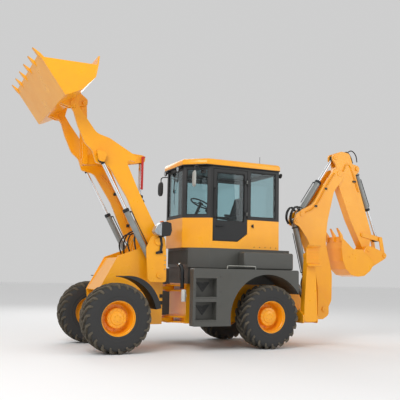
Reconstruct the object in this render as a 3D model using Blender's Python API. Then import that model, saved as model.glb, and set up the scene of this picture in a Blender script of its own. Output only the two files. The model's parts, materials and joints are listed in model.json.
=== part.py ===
"""Backhoe loader with a centre-hinged frame, a front loader and a rear digging arm.

Metres, +Z up. The machine faces +X and its left side is +Y. Sizes below are in the machine's
own frame: x is zero midway between the axles, z is zero on the ground. At the end everything
is moved back by MIDDLE_X, so that the origin lies under the middle of the whole machine.
"""

import math

import bmesh
import bpy
from mathutils import Matrix, Vector

# ---------------------------------------------------------------- clearances
GAP = 0.0003          # between pieces that touch
PIN_PLAY = 0.0004     # added to a pin's radius for the hole it turns in
SIDE_PLAY = 0.0010    # beside a lug that turns on a pin
RUN_CLEAR = 0.006     # between pieces that pass each other
MERGE = 0.00001       # points this near are one point
FLAT_ANGLE = 0.0005   # faces that meet flatter than this become one
INSET = 0.002         # keeps the faces of two joined shapes off one plane
STEPS = 14            # sides of pins and cylinders
WHEEL_STEPS = 28      # sides of wheels

# ---------------------------------------------------------------- wheels and axles
WHEELBASE = 2.684
TRACK = 1.622
TYRE_RADIUS = 0.5375
TYRE_HALF_WIDTH = 0.1925
TYRE_BEAD_RADIUS = 0.256
TYRE_BEAD_HALF_WIDTH = 0.167
RIM_FLANGE_RADIUS = 0.288
RIM_FLANGE_THICK = 0.017
RIM_INNER_RADIUS = 0.238
HUB_RADIUS = 0.155
HUB_FACE = 0.100
DISC_BACK = -0.080
DISC_FACE = -0.045
AXLE_TUBE_RADIUS = 0.085
AXLE_DIFF_RADIUS = 0.170
AXLE_FLANGE_RADIUS = 0.130
AXLE_Z = TYRE_RADIUS
FRONT_X = WHEELBASE / 2
REAR_X = -WHEELBASE / 2
WHEEL_Y = TRACK / 2

# ---------------------------------------------------------------- rear frame
PIVOT_X = 0.15
REAR_FRAME_FRONT = -0.02
REAR_FRAME_BACK = -2.05
REAR_FRAME_HALF = 0.375
REAR_FRAME_BOTTOM = 0.400
REAR_FRAME_TOP = 1.070
FRAME_PLATE = 0.030
HINGE_EYE_RADIUS = 0.090
HINGE_PIN_RADIUS = 0.035
TONGUE_THICK = 0.060
FORK_PLATE = 0.025
UPPER_TONGUE_Z = 0.990
LOWER_TONGUE_Z = 0.460
AXLE_NOTCH_HALF = 0.110
CROSS_BOX_BACK = -2.330
CROSS_ARM_HALF = 0.770
CROSS_ARM_BOTTOM = 0.420
CROSS_ARM_TOP = 0.640
CROSS_MID_HALF = 0.400
CROSS_MID_TOP = 0.960
ENGINE_SIZE = (0.860, 0.620, 0.540)
ENGINE_X = -1.380
ENGINE_TRAY_Z = 0.735

# ---------------------------------------------------------------- deck, fenders
DECK_FRONT = 0.0
DECK_BACK = -1.880
DECK_FRONT_HALF = 0.450
DECK_HALF = 0.680
DECK_CORNER_X = -0.300
DECK_BOTTOM = 1.345
DECK_TOP = 1.680
BAY_HALF = 0.430
BAY_WALL = 0.020
FENDER_FRONT = 0.130
FENDER_BACK = -1.875
FENDER_OUTER = 1.000
FENDER_BOTTOM = 0.400
FENDER_TOP = 1.330
ARCH_X = -1.270
ARCH_Z = 0.530
ARCH_RADIUS = 0.720
STEP_POCKET_X = (-0.290, 0.080)
STEP_POCKETS_Z = ((0.500, 0.790), (0.870, 1.170))
STEP_DEPTH = 0.160

# ---------------------------------------------------------------- cab
CAB_WALL = 0.050
CAB_FRONT = 0.080
CAB_FRONT_HALF = 0.370
CAB_HALF = 0.680
CAB_CORNER_X = -0.300
CAB_BACK = -1.660
CAB_FLOOR = 0.040
CAB_BELT_Z = 2.190
CAB_TOP_Z = 3.090
DOOR_FRONT = -0.350
DOOR_BACK = -1.020
DOOR_SILL_Z = 1.800
DOOR_HEAD_Z = 3.050
DOOR_GAP = 0.006
DOOR_THICK = 0.040
DOOR_RAIL = 0.055
DOOR_KICK_Z = 2.140
DOOR_HINGE_RADIUS = 0.012
DOOR_HINGE_Y = CAB_HALF + 0.014
DOOR_HINGES_Z = (2.290, 2.850)
PILLAR = 0.060
HEADER = 0.050
ROOF_THICK = 0.120
ROOF_OVERHANG = 0.040
SEAT_X = -0.950
SEAT_WIDTH = 0.480
STEERING_X = -0.330
STEERING_WHEEL_RADIUS = 0.190

# ---------------------------------------------------------------- front frame
TOWER_HALF = 0.400
TOWER_PLATE = 0.030
CHEEK_INNER = 0.574
CHEEK_PLATE = 0.026
FRONT_FRAME_BACK = 0.420
ARM_PIVOT = (0.600, 1.750)
ARM_PIN_RADIUS = 0.040
LIFT_BASE = (0.565, 1.200)
MUDGUARD_RADIUS = 0.640
MUDGUARD_INNER = 0.600
MUDGUARD_OUTER = 0.860
MUDGUARD_THICK = 0.015

# ---------------------------------------------------------------- loader
ARM_INNER = 0.440
ARM_THICK = 0.045
ARM_TUBE_RADIUS = 0.085
LIFT_EYE = (1.590, 3.037)
LIFT_Y = 0.524
LIFT_BARREL_RADIUS = 0.048
LIFT_BARREL_LENGTH = 1.219
LIFT_ROD_RADIUS = 0.027
LIFT_RETRACT = 0.720
BUCKET_PIVOT = (2.085, 3.900)
CRANK_PIVOT = (1.330, 3.170)
CRANK_TOP = (0.740, 3.200)
CRANK_LOW = (1.740, 3.060)
LINK_PIN = (1.800, 4.040)
CRANK_HALF = 0.060
CRANK_SLOT_HALF = 0.036
TILT_BASE = (0.757, 1.800)
TILT_BARREL_RADIUS = 0.060
TILT_BARREL_LENGTH = 0.775
TILT_ROD_RADIUS = 0.030
BUCKET_HALF = 1.070
BUCKET_SHEET = 0.022
BUCKET_LIP = (2.750, 4.432)
BUCKET_TOOTH_TIP = (2.844, 4.511)
BUCKET_TEETH = 6
BUCKET_EAR = 0.030

# ---------------------------------------------------------------- rear digging arm
SWING_X = -2.720
SWING_EYE_RADIUS = 0.095
SWING_PIN_RADIUS = 0.040
SWING_LUG_PLATE = 0.050
SWING_LUGS_Z = (0.500, 0.900)
POST_CHEEK_INNER = 0.150
POST_CHEEK_PLATE = 0.030
BOOM_FOOT = (-2.990, 0.620)
BOOM_PIN_RADIUS = 0.035
BOOM_HALF = 0.120
BOOM_SLOT_HALF = 0.075
BOOM_CYL_TOP = (-2.430, 2.300)
BOOM_CYL_FOOT = (-2.720, 1.135)
BOOM_CYL_RADIUS = 0.058
BOOM_CYL_LENGTH = 1.090
CROWD_BASE = (-2.530, 2.430)
STICK_PIVOT = (-3.430, 3.300)
STICK_EAR = (-3.350, 3.620)
STICK_HALF = 0.090
STICK_SWEEP_RADIUS = 0.440
CROWD_RADIUS = 0.062
CROWD_LENGTH = 0.835
HOE_PIVOT = (-4.100, 1.800)
HOE_CYL_BASE = (-3.900, 3.440)
HOE_CYL_RADIUS = 0.048
HOE_CYL_LENGTH = 0.900
ROCKER_PIVOT = (-4.010, 2.100)
ROCKER_END = (-4.440, 2.020)
HOE_LINK_PIN = (-4.500, 1.690)
HOE_HALF = 0.250
HOE_SHEET = 0.020
HOE_TEETH = 3
HOE_EAR_INNER = 0.142
HOE_EAR_PLATE = 0.024
ROCKER_PLATE = 0.020
ROD_RADIUS = 0.028

# ---------------------------------------------------------------- stabilisers
LEG_Y = 0.860
LEG_Z = 0.500
LEG_HALF = 0.060
LEG_FRONT = -2.045
LEG_BACK = -2.315
LEG_MID_X = -2.180
PAD_PIN_Z = 1.600
PAD_OFFSET = 0.102
PAD_PLATE = 0.014
STAB_BASE = (0.250, 1.250)
STAB_EYE = (0.820, 0.745)
STAB_RADIUS = 0.042
STAB_LENGTH = 0.600

# ---------------------------------------------------------------- place of the origin
MIDDLE_X = (BUCKET_TOOTH_TIP[0] + HOE_LINK_PIN[0] - 0.0438) / 2

COLOURS = {
    "yellow": ((0.93, 0.50, 0.02, 1.0), 0.35, 0.0),
    "grey": ((0.10, 0.10, 0.09, 1.0), 0.55, 0.0),
    "black": ((0.02, 0.02, 0.02, 1.0), 0.45, 0.0),
    "rubber": ((0.035, 0.035, 0.035, 1.0), 0.85, 0.0),
    "steel": ((0.45, 0.45, 0.44, 1.0), 0.40, 0.8),
    "chrome": ((0.80, 0.80, 0.80, 1.0), 0.15, 1.0),
    "cloth": ((0.05, 0.05, 0.06, 1.0), 0.90, 0.0),
}


# ---------------------------------------------------------------- helpers
def clear_scene():
    """Remove whatever the scene holds."""
    for old in list(bpy.data.objects):
        bpy.data.objects.remove(old, do_unlink=True)


def material(name):
    """Return the named material, made on first use."""
    found = bpy.data.materials.get(name)
    if found:
        return found
    colour, roughness, metallic = COLOURS[name]
    made = bpy.data.materials.new(name)
    made.use_nodes = True
    shader = made.node_tree.nodes["Principled BSDF"]
    shader.inputs["Base Color"].default_value = colour
    shader.inputs["Roughness"].default_value = roughness
    shader.inputs["Metallic"].default_value = metallic
    made.diffuse_color = colour
    return made


def from_bmesh(bm, name="piece"):
    """Make an object in the machine's collection from a bmesh."""
    bmesh.ops.recalc_face_normals(bm, faces=bm.faces)
    if bm.calc_volume(signed=True) < 0:
        bmesh.ops.reverse_faces(bm, faces=bm.faces)
    mesh = bpy.data.meshes.new(name)
    bm.to_mesh(mesh)
    bm.free()
    made = bpy.data.objects.new(name, mesh)
    MACHINE.objects.link(made)
    return made


def box(x, y, z):
    """Make a box from its (low, high) pairs."""
    bm = bmesh.new()
    size = Matrix.Diagonal((x[1] - x[0], y[1] - y[0], z[1] - z[0], 1.0))
    centre = Vector(((x[0] + x[1]) / 2, (y[0] + y[1]) / 2, (z[0] + z[1]) / 2))
    bmesh.ops.create_cube(bm, size=1.0, matrix=Matrix.Translation(centre) @ size)
    return from_bmesh(bm)


def rod(start, end, radius, steps=STEPS, spin=0.0):
    """Make a cylinder between two points, its sides spun about its own line."""
    start, end = Vector(start), Vector(end)
    along = end - start
    turn = along.to_track_quat("Z", "X").to_matrix().to_4x4() @ Matrix.Rotation(spin, 4, "Z")
    bm = bmesh.new()
    bmesh.ops.create_cone(
        bm, cap_ends=True, segments=steps, radius1=radius, radius2=radius, depth=along.length,
        matrix=Matrix.Translation((start + end) / 2) @ turn)
    return from_bmesh(bm)


def hole(start, end, radius, steps=STEPS):
    """Make the cutter for the hole that a pin of this radius turns in.

    Its flats lie outside the pin's round and face the pin's corners at rest.
    """
    clear = (radius + PIN_PLAY) / math.cos(math.pi / steps)
    return rod(start, end, clear, steps, math.pi / steps)


def hole_across(point, low, high, radius):
    """Make a pin hole's cutter along Y at an (x, z) point."""
    return hole((point[0], low, point[1]), (point[0], high, point[1]), radius)


def across(point, low, high, radius, steps=STEPS):
    """Make a cylinder along Y at an (x, z) point."""
    return rod((point[0], low, point[1]), (point[0], high, point[1]), radius, steps)


def arc_points(before, corner, after, radius, count=3):
    """Return the points that round one corner of an outline."""
    before, corner, after = Vector(before), Vector(corner), Vector(after)
    first = (before - corner).normalized()
    second = (after - corner).normalized()
    half = first.angle(second) / 2
    reach = radius / math.tan(half)
    centre = corner + (first + second).normalized() * (radius / math.sin(half))
    start = corner + first * reach - centre
    end = corner + second * reach - centre
    turn = math.atan2(start.cross(end), start.dot(end))
    points = []
    for step in range(count + 1):
        angle = turn * step / count
        spun = Matrix.Rotation(angle, 2) @ start
        points.append(tuple(centre + spun))
    return points


def rounded(points):
    """Return an outline whose (u, v, radius) corners are rounded."""
    outline = []
    for index, corner in enumerate(points):
        if len(corner) == 2 or corner[2] == 0:
            outline.append(corner[:2])
            continue
        before = points[index - 1][:2]
        after = points[(index + 1) % len(points)][:2]
        outline.extend(arc_points(before, corner[:2], after, corner[2]))
    return outline


def flat(points, low, high, plane="XZ"):
    """Extrude an outline of (u, v, radius) corners between two heights on its normal."""
    curve = bpy.data.curves.new("outline", "CURVE")
    curve.dimensions = "2D"
    curve.fill_mode = "BOTH"
    curve.extrude = (high - low) / 2
    outline = rounded(points)
    spline = curve.splines.new("POLY")
    spline.points.add(len(outline) - 1)
    for target, (u, v) in zip(spline.points, outline):
        target.co = (u, v, 0.0, 1.0)
    spline.use_cyclic_u = True
    shape = bpy.data.objects.new("outline", curve)
    MACHINE.objects.link(shape)
    middle = (low + high) / 2
    if plane == "XZ":
        place = Matrix.Translation((0, middle, 0)) @ Matrix.Rotation(math.pi / 2, 4, "X")
    elif plane == "YZ":
        place = Matrix(((0, 0, 1, middle), (1, 0, 0, 0), (0, 1, 0, 0), (0, 0, 0, 1)))
    else:
        place = Matrix.Translation((0, 0, middle))
    return as_mesh(shape, place)


def tube(points, radius, resolution=1):
    """Make a round bar along a line of points."""
    curve = bpy.data.curves.new("tube", "CURVE")
    curve.dimensions = "3D"
    curve.bevel_depth = radius
    curve.bevel_resolution = resolution
    curve.use_fill_caps = True
    spline = curve.splines.new("POLY")
    spline.points.add(len(points) - 1)
    for target, point in zip(spline.points, points):
        target.co = (*point, 1.0)
    shape = bpy.data.objects.new("tube", curve)
    MACHINE.objects.link(shape)
    return as_mesh(shape, Matrix.Identity(4))


def as_mesh(shape, place):
    """Turn a curve object into a closed mesh object set at a place."""
    bpy.context.view_layer.update()
    graph = bpy.context.evaluated_depsgraph_get()
    mesh = bpy.data.meshes.new_from_object(shape.evaluated_get(graph))
    bm = bmesh.new()
    bm.from_mesh(mesh)
    bmesh.ops.remove_doubles(bm, verts=bm.verts, dist=MERGE)
    bm.transform(place @ shape.matrix_world)
    bpy.data.objects.remove(shape, do_unlink=True)
    return from_bmesh(bm)


def turned(profile, centre, side=1.0, steps=WHEEL_STEPS):
    """Turn a closed (radius, y) profile about the Y line through a centre."""
    bm = bmesh.new()
    verts = [bm.verts.new((radius, side * along, 0.0)) for radius, along in profile]
    edges = [bm.edges.new((a, b)) for a, b in zip(verts, verts[1:] + verts[:1])]
    bmesh.ops.spin(bm, geom=verts + edges, cent=(0, 0, 0), axis=(0, 1, 0),
                   angle=2 * math.pi, steps=steps, use_merge=True, use_duplicate=False)
    bmesh.ops.remove_doubles(bm, verts=bm.verts, dist=MERGE)
    bm.transform(Matrix.Translation(centre))
    made = from_bmesh(bm)
    return made


def boolean(target, others, operation):
    """Apply one Boolean for each of the other shapes and remove them."""
    for other in others:
        step = target.modifiers.new(operation, "BOOLEAN")
        step.operation = operation
        step.solver = "EXACT"
        step.object = other
        bpy.context.view_layer.update()
        graph = bpy.context.evaluated_depsgraph_get()
        mesh = bpy.data.meshes.new_from_object(target.evaluated_get(graph))
        target.modifiers.clear()
        bm = bmesh.new()
        bm.from_mesh(mesh)
        bmesh.ops.remove_doubles(bm, verts=bm.verts, dist=MERGE)
        bmesh.ops.dissolve_degenerate(bm, edges=bm.edges, dist=MERGE)
        bm.to_mesh(mesh)
        bm.free()
        target.data = mesh
        bpy.data.objects.remove(other, do_unlink=True)
    return target


def join(target, *others):
    """Unite shapes into one body."""
    return boolean(target, others, "UNION")


def cut(target, *others):
    """Cut shapes out of a body."""
    return boolean(target, others, "DIFFERENCE")


def mirrored(shape):
    """Return a copy of a shape on the other side of the machine."""
    bm = bmesh.new()
    bm.from_mesh(shape.data)
    bm.transform(Matrix.Scale(-1, 4, (0, 1, 0)))
    return from_bmesh(bm)


def finish(shape, name, colour, origin=None, parent=None, smooth=False):
    """Name a piece, colour it and put its origin on its joint's axis."""
    bm = bmesh.new()
    bm.from_mesh(shape.data)
    bmesh.ops.dissolve_limit(bm, angle_limit=FLAT_ANGLE, verts=bm.verts, edges=bm.edges)
    bm.to_mesh(shape.data)
    bm.free()
    shape.name = name
    shape.data.name = name
    shape.data.materials.clear()
    shape.data.materials.append(material(colour))
    if smooth:
        shape.data.shade_smooth()
        shape.data.set_sharp_from_angle(angle=math.radians(35))
    if origin is not None:
        shape.data.transform(Matrix.Translation(-Vector(origin)))
        shape.location = origin
    if parent is not None:
        shape.parent = parent
        bpy.context.view_layer.update()
        shape.matrix_parent_inverse = parent.matrix_world.inverted()
    return shape


def beside(points, thickness):
    """Return the line that runs beside a line of points, on its left side."""
    inner = []
    count = len(points)
    for index in range(count):
        here = Vector(points[index])
        normals = []
        if index > 0:
            along = (here - Vector(points[index - 1])).normalized()
            normals.append(Vector((-along.y, along.x)))
        if index < count - 1:
            along = (Vector(points[index + 1]) - here).normalized()
            normals.append(Vector((-along.y, along.x)))
        blend = sum(normals, Vector((0, 0))).normalized()
        inner.append(tuple(here + blend * (thickness / blend.dot(normals[0]))))
    return inner


def band(points, thickness):
    """Return the outline of a sheet that follows a line of points on its left side."""
    return list(points) + beside(points, thickness)[::-1]


def aligned(shape, base, eye, pin_axis="Y"):
    """Turn a shape built up +Z from the origin so that it runs from base to eye."""
    base, eye = Vector(base), Vector(eye)
    up = (eye - base).normalized()
    side = Vector((0, 1, 0)) if pin_axis == "Y" else Vector((1, 0, 0))
    front = side.cross(up)
    turn = Matrix((front, side, up)).transposed().to_4x4()
    shape.data.transform(Matrix.Translation(base) @ turn)
    return shape


def barrel(base, eye, radius, length, rod_radius, eye_radius, eye_width, pin_radius,
           pin_axis="Y"):
    """Make a cylinder's barrel: base eye, tube, gland and the bore for its rod."""
    body = rod((0, 0, 0.7 * eye_radius), (0, 0, length), radius)
    gland = rod((0, 0, length - 0.05), (0, 0, length), radius * 1.12)
    lug = rod((0, -eye_width / 2, 0), (0, eye_width / 2, 0), eye_radius)
    join(body, gland, lug)
    cut(body, hole((0, -eye_width, 0), (0, eye_width, 0), pin_radius, 24),
        hole((0, 0, eye_radius + 0.02), (0, 0, length + 0.05), rod_radius))
    return aligned(body, base, eye, pin_axis)


def piston_rod(base, eye, inside, rod_radius, eye_radius, eye_width, pin_axis="Y"):
    """Make a cylinder's rod, which starts inside the barrel and ends in an eye."""
    reach = (Vector(eye) - Vector(base)).length
    body = rod((0, 0, inside), (0, 0, reach - 0.3 * eye_radius), rod_radius)
    head = rod((0, -eye_width / 2, reach), (0, eye_width / 2, reach), eye_radius)
    join(body, head)
    return aligned(body, base, eye, pin_axis)


def at(point, y=0.0):
    """Return an (x, z) point as a 3-D point."""
    return (point[0], y, point[1])


# ---------------------------------------------------------------- wheels and axles
def make_wheel(corner, x, side, parent):
    """Make a tyre and its rim."""
    centre = (x, side * WHEEL_Y, AXLE_Z)
    half = TYRE_BEAD_HALF_WIDTH
    bead = TYRE_BEAD_RADIUS + GAP * 2
    wall = [(bead, half), (RIM_FLANGE_RADIUS, half), (0.345, 0.184), (0.420, TYRE_HALF_WIDTH),
            (0.480, 0.187), (0.518, 0.168), (TYRE_RADIUS, 0.135)]
    outline = wall + [(radius, -along) for radius, along in reversed(wall)]
    tyre = turned(outline, centre)
    lip = half + GAP * 2
    edge = lip + RIM_FLANGE_THICK
    profile = [
        (0.0, HUB_FACE), (HUB_RADIUS - 0.02, HUB_FACE), (HUB_RADIUS, HUB_FACE - 0.03),
        (HUB_RADIUS, DISC_FACE), (RIM_INNER_RADIUS, DISC_FACE - 0.01),
        (RIM_INNER_RADIUS, edge), (RIM_FLANGE_RADIUS, edge), (RIM_FLANGE_RADIUS, lip),
        (TYRE_BEAD_RADIUS, lip), (TYRE_BEAD_RADIUS, -lip), (RIM_FLANGE_RADIUS, -lip),
        (RIM_FLANGE_RADIUS, -edge), (RIM_INNER_RADIUS, -edge),
        (RIM_INNER_RADIUS, DISC_BACK), (0.0, DISC_BACK)]
    rim = turned(profile, centre, side)
    rim = finish(rim, "rim_" + corner, "yellow", centre, parent, smooth=True)
    finish(tyre, "tyre_" + corner, "rubber", centre, rim, smooth=True)
    return rim


def make_axle(name, x, parent):
    """Make an axle housing with its differential and wheel flanges."""
    flange = WHEEL_Y + DISC_BACK - GAP
    half = [(0.0, flange), (AXLE_FLANGE_RADIUS, flange), (AXLE_FLANGE_RADIUS, flange - 0.05),
            (AXLE_TUBE_RADIUS, flange - 0.09), (AXLE_TUBE_RADIUS, 0.20),
            (AXLE_DIFF_RADIUS, 0.10)]
    profile = half + [(radius, -along) for radius, along in reversed(half)]
    housing = turned(profile, (x, 0, AXLE_Z), steps=24)
    return finish(housing, name, "yellow", None, parent, smooth=True)


# ---------------------------------------------------------------- rear frame
def make_rear_frame():
    """Make the rear frame with its hinge fork, cross box and swing lugs."""
    low, high = REAR_FRAME_BOTTOM, REAR_FRAME_TOP
    notch_top = AXLE_Z + AXLE_TUBE_RADIUS + GAP
    side = [
        (REAR_FRAME_BACK, low + 0.05), (REAR_X - AXLE_NOTCH_HALF, low + 0.05),
        (REAR_X - AXLE_NOTCH_HALF, notch_top), (REAR_X + AXLE_NOTCH_HALF, notch_top),
        (REAR_X + AXLE_NOTCH_HALF, low + 0.05), (-0.80, low), (REAR_FRAME_FRONT, low),
        (REAR_FRAME_FRONT, high), (REAR_FRAME_BACK, high)]
    inner = REAR_FRAME_HALF - FRAME_PLATE
    frame = flat(side, inner, REAR_FRAME_HALF)
    join(frame,
         flat(side, -REAR_FRAME_HALF, -inner),
         box((REAR_FRAME_FRONT - FRAME_PLATE, REAR_FRAME_FRONT),
             (-inner - 0.01, inner + 0.01), (low, high)),
         box((-0.82, -0.79), (-inner - 0.01, inner + 0.01), (low + 0.05, high - 0.10)),
         box((ENGINE_X - ENGINE_SIZE[0] / 2, ENGINE_X + ENGINE_SIZE[0] / 2),
             (-inner - 0.01, inner + 0.01), (ENGINE_TRAY_Z, ENGINE_TRAY_Z + 0.02)),
         box((CROSS_BOX_BACK, REAR_FRAME_BACK + 0.03), (-CROSS_ARM_HALF, CROSS_ARM_HALF),
             (CROSS_ARM_BOTTOM, CROSS_ARM_TOP)),
         box((CROSS_BOX_BACK, REAR_FRAME_BACK + 0.03), (-CROSS_MID_HALF, CROSS_MID_HALF),
             (CROSS_ARM_TOP - 0.02, CROSS_MID_TOP)))
    for tongue in (UPPER_TONGUE_Z, LOWER_TONGUE_Z):
        for sign in (-1, 1):
            near = tongue + sign * (TONGUE_THICK / 2 + SIDE_PLAY)
            far = near + sign * FORK_PLATE
            fork = [(REAR_FRAME_FRONT - 0.01, -0.28), (REAR_FRAME_FRONT + 0.02, -0.28),
                    (PIVOT_X + HINGE_EYE_RADIUS, -HINGE_EYE_RADIUS, 0.08),
                    (PIVOT_X + HINGE_EYE_RADIUS, HINGE_EYE_RADIUS, 0.08),
                    (REAR_FRAME_FRONT + 0.02, 0.28), (REAR_FRAME_FRONT - 0.01, 0.28)]
            join(frame, flat(fork, min(near, far), max(near, far), "XY"))
        reach = TONGUE_THICK / 2 + FORK_PLATE + 0.012
        join(frame, rod((PIVOT_X, 0, tongue - reach), (PIVOT_X, 0, tongue + reach),
                        HINGE_PIN_RADIUS))
    add_swing_lugs(frame)
    for side_sign in (-1, 1):
        add_leg_bracket(frame, side_sign)
    return finish(frame, "rear_frame", "yellow")


def add_swing_lugs(frame):
    """Add the two lugs that carry the swing post."""
    for level in SWING_LUGS_Z:
        low = level - SWING_LUG_PLATE if level == SWING_LUGS_Z[0] else level
        eye = SWING_EYE_RADIUS
        lug = [(CROSS_BOX_BACK + 0.01, 0.26), (SWING_X + 0.20, 0.120, 0.05),
               (SWING_X - eye, eye, 0.085), (SWING_X - eye, -eye, 0.085),
               (SWING_X + 0.20, -0.120, 0.05), (CROSS_BOX_BACK + 0.01, -0.26)]
        join(frame, flat(lug, low, low + SWING_LUG_PLATE, "XY"))
        cut(frame, hole((SWING_X, 0, low - 0.02), (SWING_X, 0, low + SWING_LUG_PLATE + 0.02),
                        SWING_PIN_RADIUS))


def add_leg_bracket(frame, side):
    """Add one stabiliser's two hinge plates, its pin and its cylinder's post."""
    for near, far in ((LEG_FRONT + SIDE_PLAY, -2.020), (CROSS_BOX_BACK, LEG_BACK - SIDE_PLAY)):
        plate = [(side * 0.750, CROSS_ARM_BOTTOM), (side * (LEG_Y + 0.060), CROSS_ARM_BOTTOM, 0.03),
                 (side * (LEG_Y + 0.060), LEG_Z + 0.055, 0.05), (side * 0.800, CROSS_ARM_TOP),
                 (side * 0.750, CROSS_ARM_TOP)]
        join(frame, flat(plate, near, far, "YZ"))
    join(frame, rod((CROSS_BOX_BACK + 0.005, side * LEG_Y, LEG_Z),
                    (-2.025, side * LEG_Y, LEG_Z), 0.028))
    base_y, base_z = STAB_BASE
    for near in (LEG_MID_X - 0.070, LEG_MID_X + 0.050):
        post = [(side * (base_y - 0.10), CROSS_MID_TOP - 0.01),
                (side * (base_y + 0.10), CROSS_MID_TOP - 0.01),
                (side * (base_y + 0.055), base_z + 0.055, 0.05),
                (side * (base_y - 0.055), base_z + 0.055, 0.05)]
        join(frame, flat(post, near, near + 0.020, "YZ"))
    join(frame, rod((LEG_MID_X - 0.060, side * base_y, base_z),
                    (LEG_MID_X + 0.060, side * base_y, base_z), 0.022))


def make_engine(parent):
    """Make the engine as one plain block on its tray."""
    length, width, height = ENGINE_SIZE
    low = ENGINE_TRAY_Z + 0.02 + GAP
    block = box((ENGINE_X - length / 2, ENGINE_X + length / 2), (-width / 2, width / 2),
                (low, low + height))
    return finish(block, "engine", "steel", None, parent)


# ---------------------------------------------------------------- deck and fenders
def cab_plan(front, front_half, corner_x, half, back):
    """Return the plan shared by the deck and the cab: a box with a tapered nose."""
    return [(front, -front_half), (front, front_half), (corner_x, half), (back, half),
            (back, -half), (corner_x, -half)]


def make_deck(parent):
    """Make the engine bay's walls and the deck over them, open underneath."""
    low = REAR_FRAME_TOP + GAP
    plan = cab_plan(DECK_FRONT, DECK_FRONT_HALF, DECK_CORNER_X, DECK_HALF, DECK_BACK)
    deck = flat(plan, DECK_BOTTOM, DECK_TOP, "XY")
    join(deck, box((DECK_BACK + 0.02, DECK_FRONT - 0.02), (-BAY_HALF, BAY_HALF),
                   (low, DECK_BOTTOM + 0.01)))
    inner = BAY_HALF - BAY_WALL - 0.05
    cut(deck, box((DECK_BACK + 0.04, DECK_FRONT - 0.04), (-inner, inner),
                  (low - 0.1, DECK_TOP - 0.04)))
    return finish(deck, "deck", "grey", None, parent)


def make_fender(side, parent):
    """Make one rear fender with its wheel arch and its two boarding steps."""
    outline = [(FENDER_FRONT, FENDER_BOTTOM, 0.03), (FENDER_FRONT, FENDER_TOP, 0.04),
               (FENDER_BACK, FENDER_TOP, 0.03), (FENDER_BACK, 0.90),
               (ARCH_X, 0.90), (ARCH_X, FENDER_BOTTOM)]
    inner = BAY_HALF + GAP
    block = flat(outline, inner, FENDER_OUTER)
    cut(block, across((ARCH_X, ARCH_Z), inner - 0.1, FENDER_OUTER + 0.1, ARCH_RADIUS, 48))
    corner = [(FENDER_FRONT - 0.230, inner - 0.01), (FENDER_FRONT + 0.02, inner - 0.01),
              (FENDER_FRONT + 0.02, FENDER_OUTER - 0.09)]
    cut(block, flat(corner, FENDER_BOTTOM - 0.1, FENDER_TOP + 0.1, "XY"))
    for low, high in STEP_POCKETS_Z:
        cut(block, box(STEP_POCKET_X, (FENDER_OUTER - STEP_DEPTH, FENDER_OUTER + 0.1),
                       (low, high)))
    label = "left"
    if side < 0:
        other = mirrored(block)
        bpy.data.objects.remove(block, do_unlink=True)
        block = other
        label = "right"
    return finish(block, "fender_" + label, "grey", None, parent)


# ---------------------------------------------------------------- cab
def cab_shell(low, high, wall, floor):
    """Make the cab's walls between two heights, with a floor or open."""
    plan = cab_plan(CAB_FRONT, CAB_FRONT_HALF, CAB_CORNER_X, CAB_HALF, CAB_BACK)
    shell = flat(plan, low, high, "XY")
    inner = cab_plan(CAB_FRONT - wall, CAB_FRONT_HALF - wall * 0.6, CAB_CORNER_X - wall * 0.4,
                     CAB_HALF - wall, CAB_BACK + wall)
    bottom = low + floor if floor else low - 0.1
    return cut(shell, flat(inner, bottom, high + 0.1, "XY"))


def make_cab_base(parent):
    """Make the cab's floor and lower panels, with the two doorways cut."""
    base = cab_shell(DECK_TOP + GAP, CAB_BELT_Z, CAB_WALL, CAB_FLOOR)
    doorway = [(DOOR_FRONT, DOOR_SILL_Z), (DOOR_FRONT, CAB_BELT_Z + 0.1),
               (DOOR_BACK, CAB_BELT_Z + 0.1), (DOOR_BACK, DOOR_SILL_Z + 0.14),
               (DOOR_BACK + 0.19, DOOR_SILL_Z)]
    for side in (-1, 1):
        low, high = sorted((side * (CAB_HALF - 0.1), side * (CAB_HALF + 0.1)))
        cut(base, flat(doorway, low, high))
    return finish(base, "cab_base", "yellow", None, parent)


def make_cab_frame(parent):
    """Make the pillars and the header rail as one frame with every window cut."""
    low, high = CAB_BELT_Z + GAP, CAB_TOP_Z
    frame = cab_shell(low, high, CAB_WALL, 0.0)
    glass_low, glass_high = low + 0.045, high - HEADER
    far = CAB_HALF + 0.2
    cut(frame,
        box((DOOR_BACK, DOOR_FRONT), (-far, far), (low - 0.1, DOOR_HEAD_Z)),
        box((CAB_BACK + CAB_WALL + 0.02, DOOR_BACK - PILLAR), (-far, far),
            (glass_low, glass_high)),
        box((CAB_FRONT - 0.1, CAB_FRONT + 0.1), (-CAB_FRONT_HALF + 0.05, CAB_FRONT_HALF - 0.05),
            (glass_low, glass_high)),
        box((CAB_BACK - 0.1, CAB_BACK + 0.1), (-CAB_HALF + 0.12, CAB_HALF - 0.12),
            (glass_low, glass_high)))
    nose = Vector((CAB_FRONT, CAB_FRONT_HALF))
    corner = Vector((CAB_CORNER_X, CAB_HALF))
    along = (corner - nose).normalized()
    out = Vector((-along.y, along.x))
    if out.y < 0:
        out = -out
    for side in (-1, 1):
        ring = []
        for point, push in ((nose + along * 0.06, -0.12), (corner - along * 0.05, -0.12),
                            (corner - along * 0.05, 0.12), (nose + along * 0.06, 0.12)):
            moved = point + out * push
            ring.append((moved.x, side * moved.y))
        cut(frame, flat(ring, glass_low, glass_high, "XY"))
    for side in (-1, 1):
        for level in DOOR_HINGES_Z:
            add_knuckle(frame, side, level, -1)
            add_knuckle(frame, side, level, 1)
    return finish(frame, "cab_frame", "black", None, parent)


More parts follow.
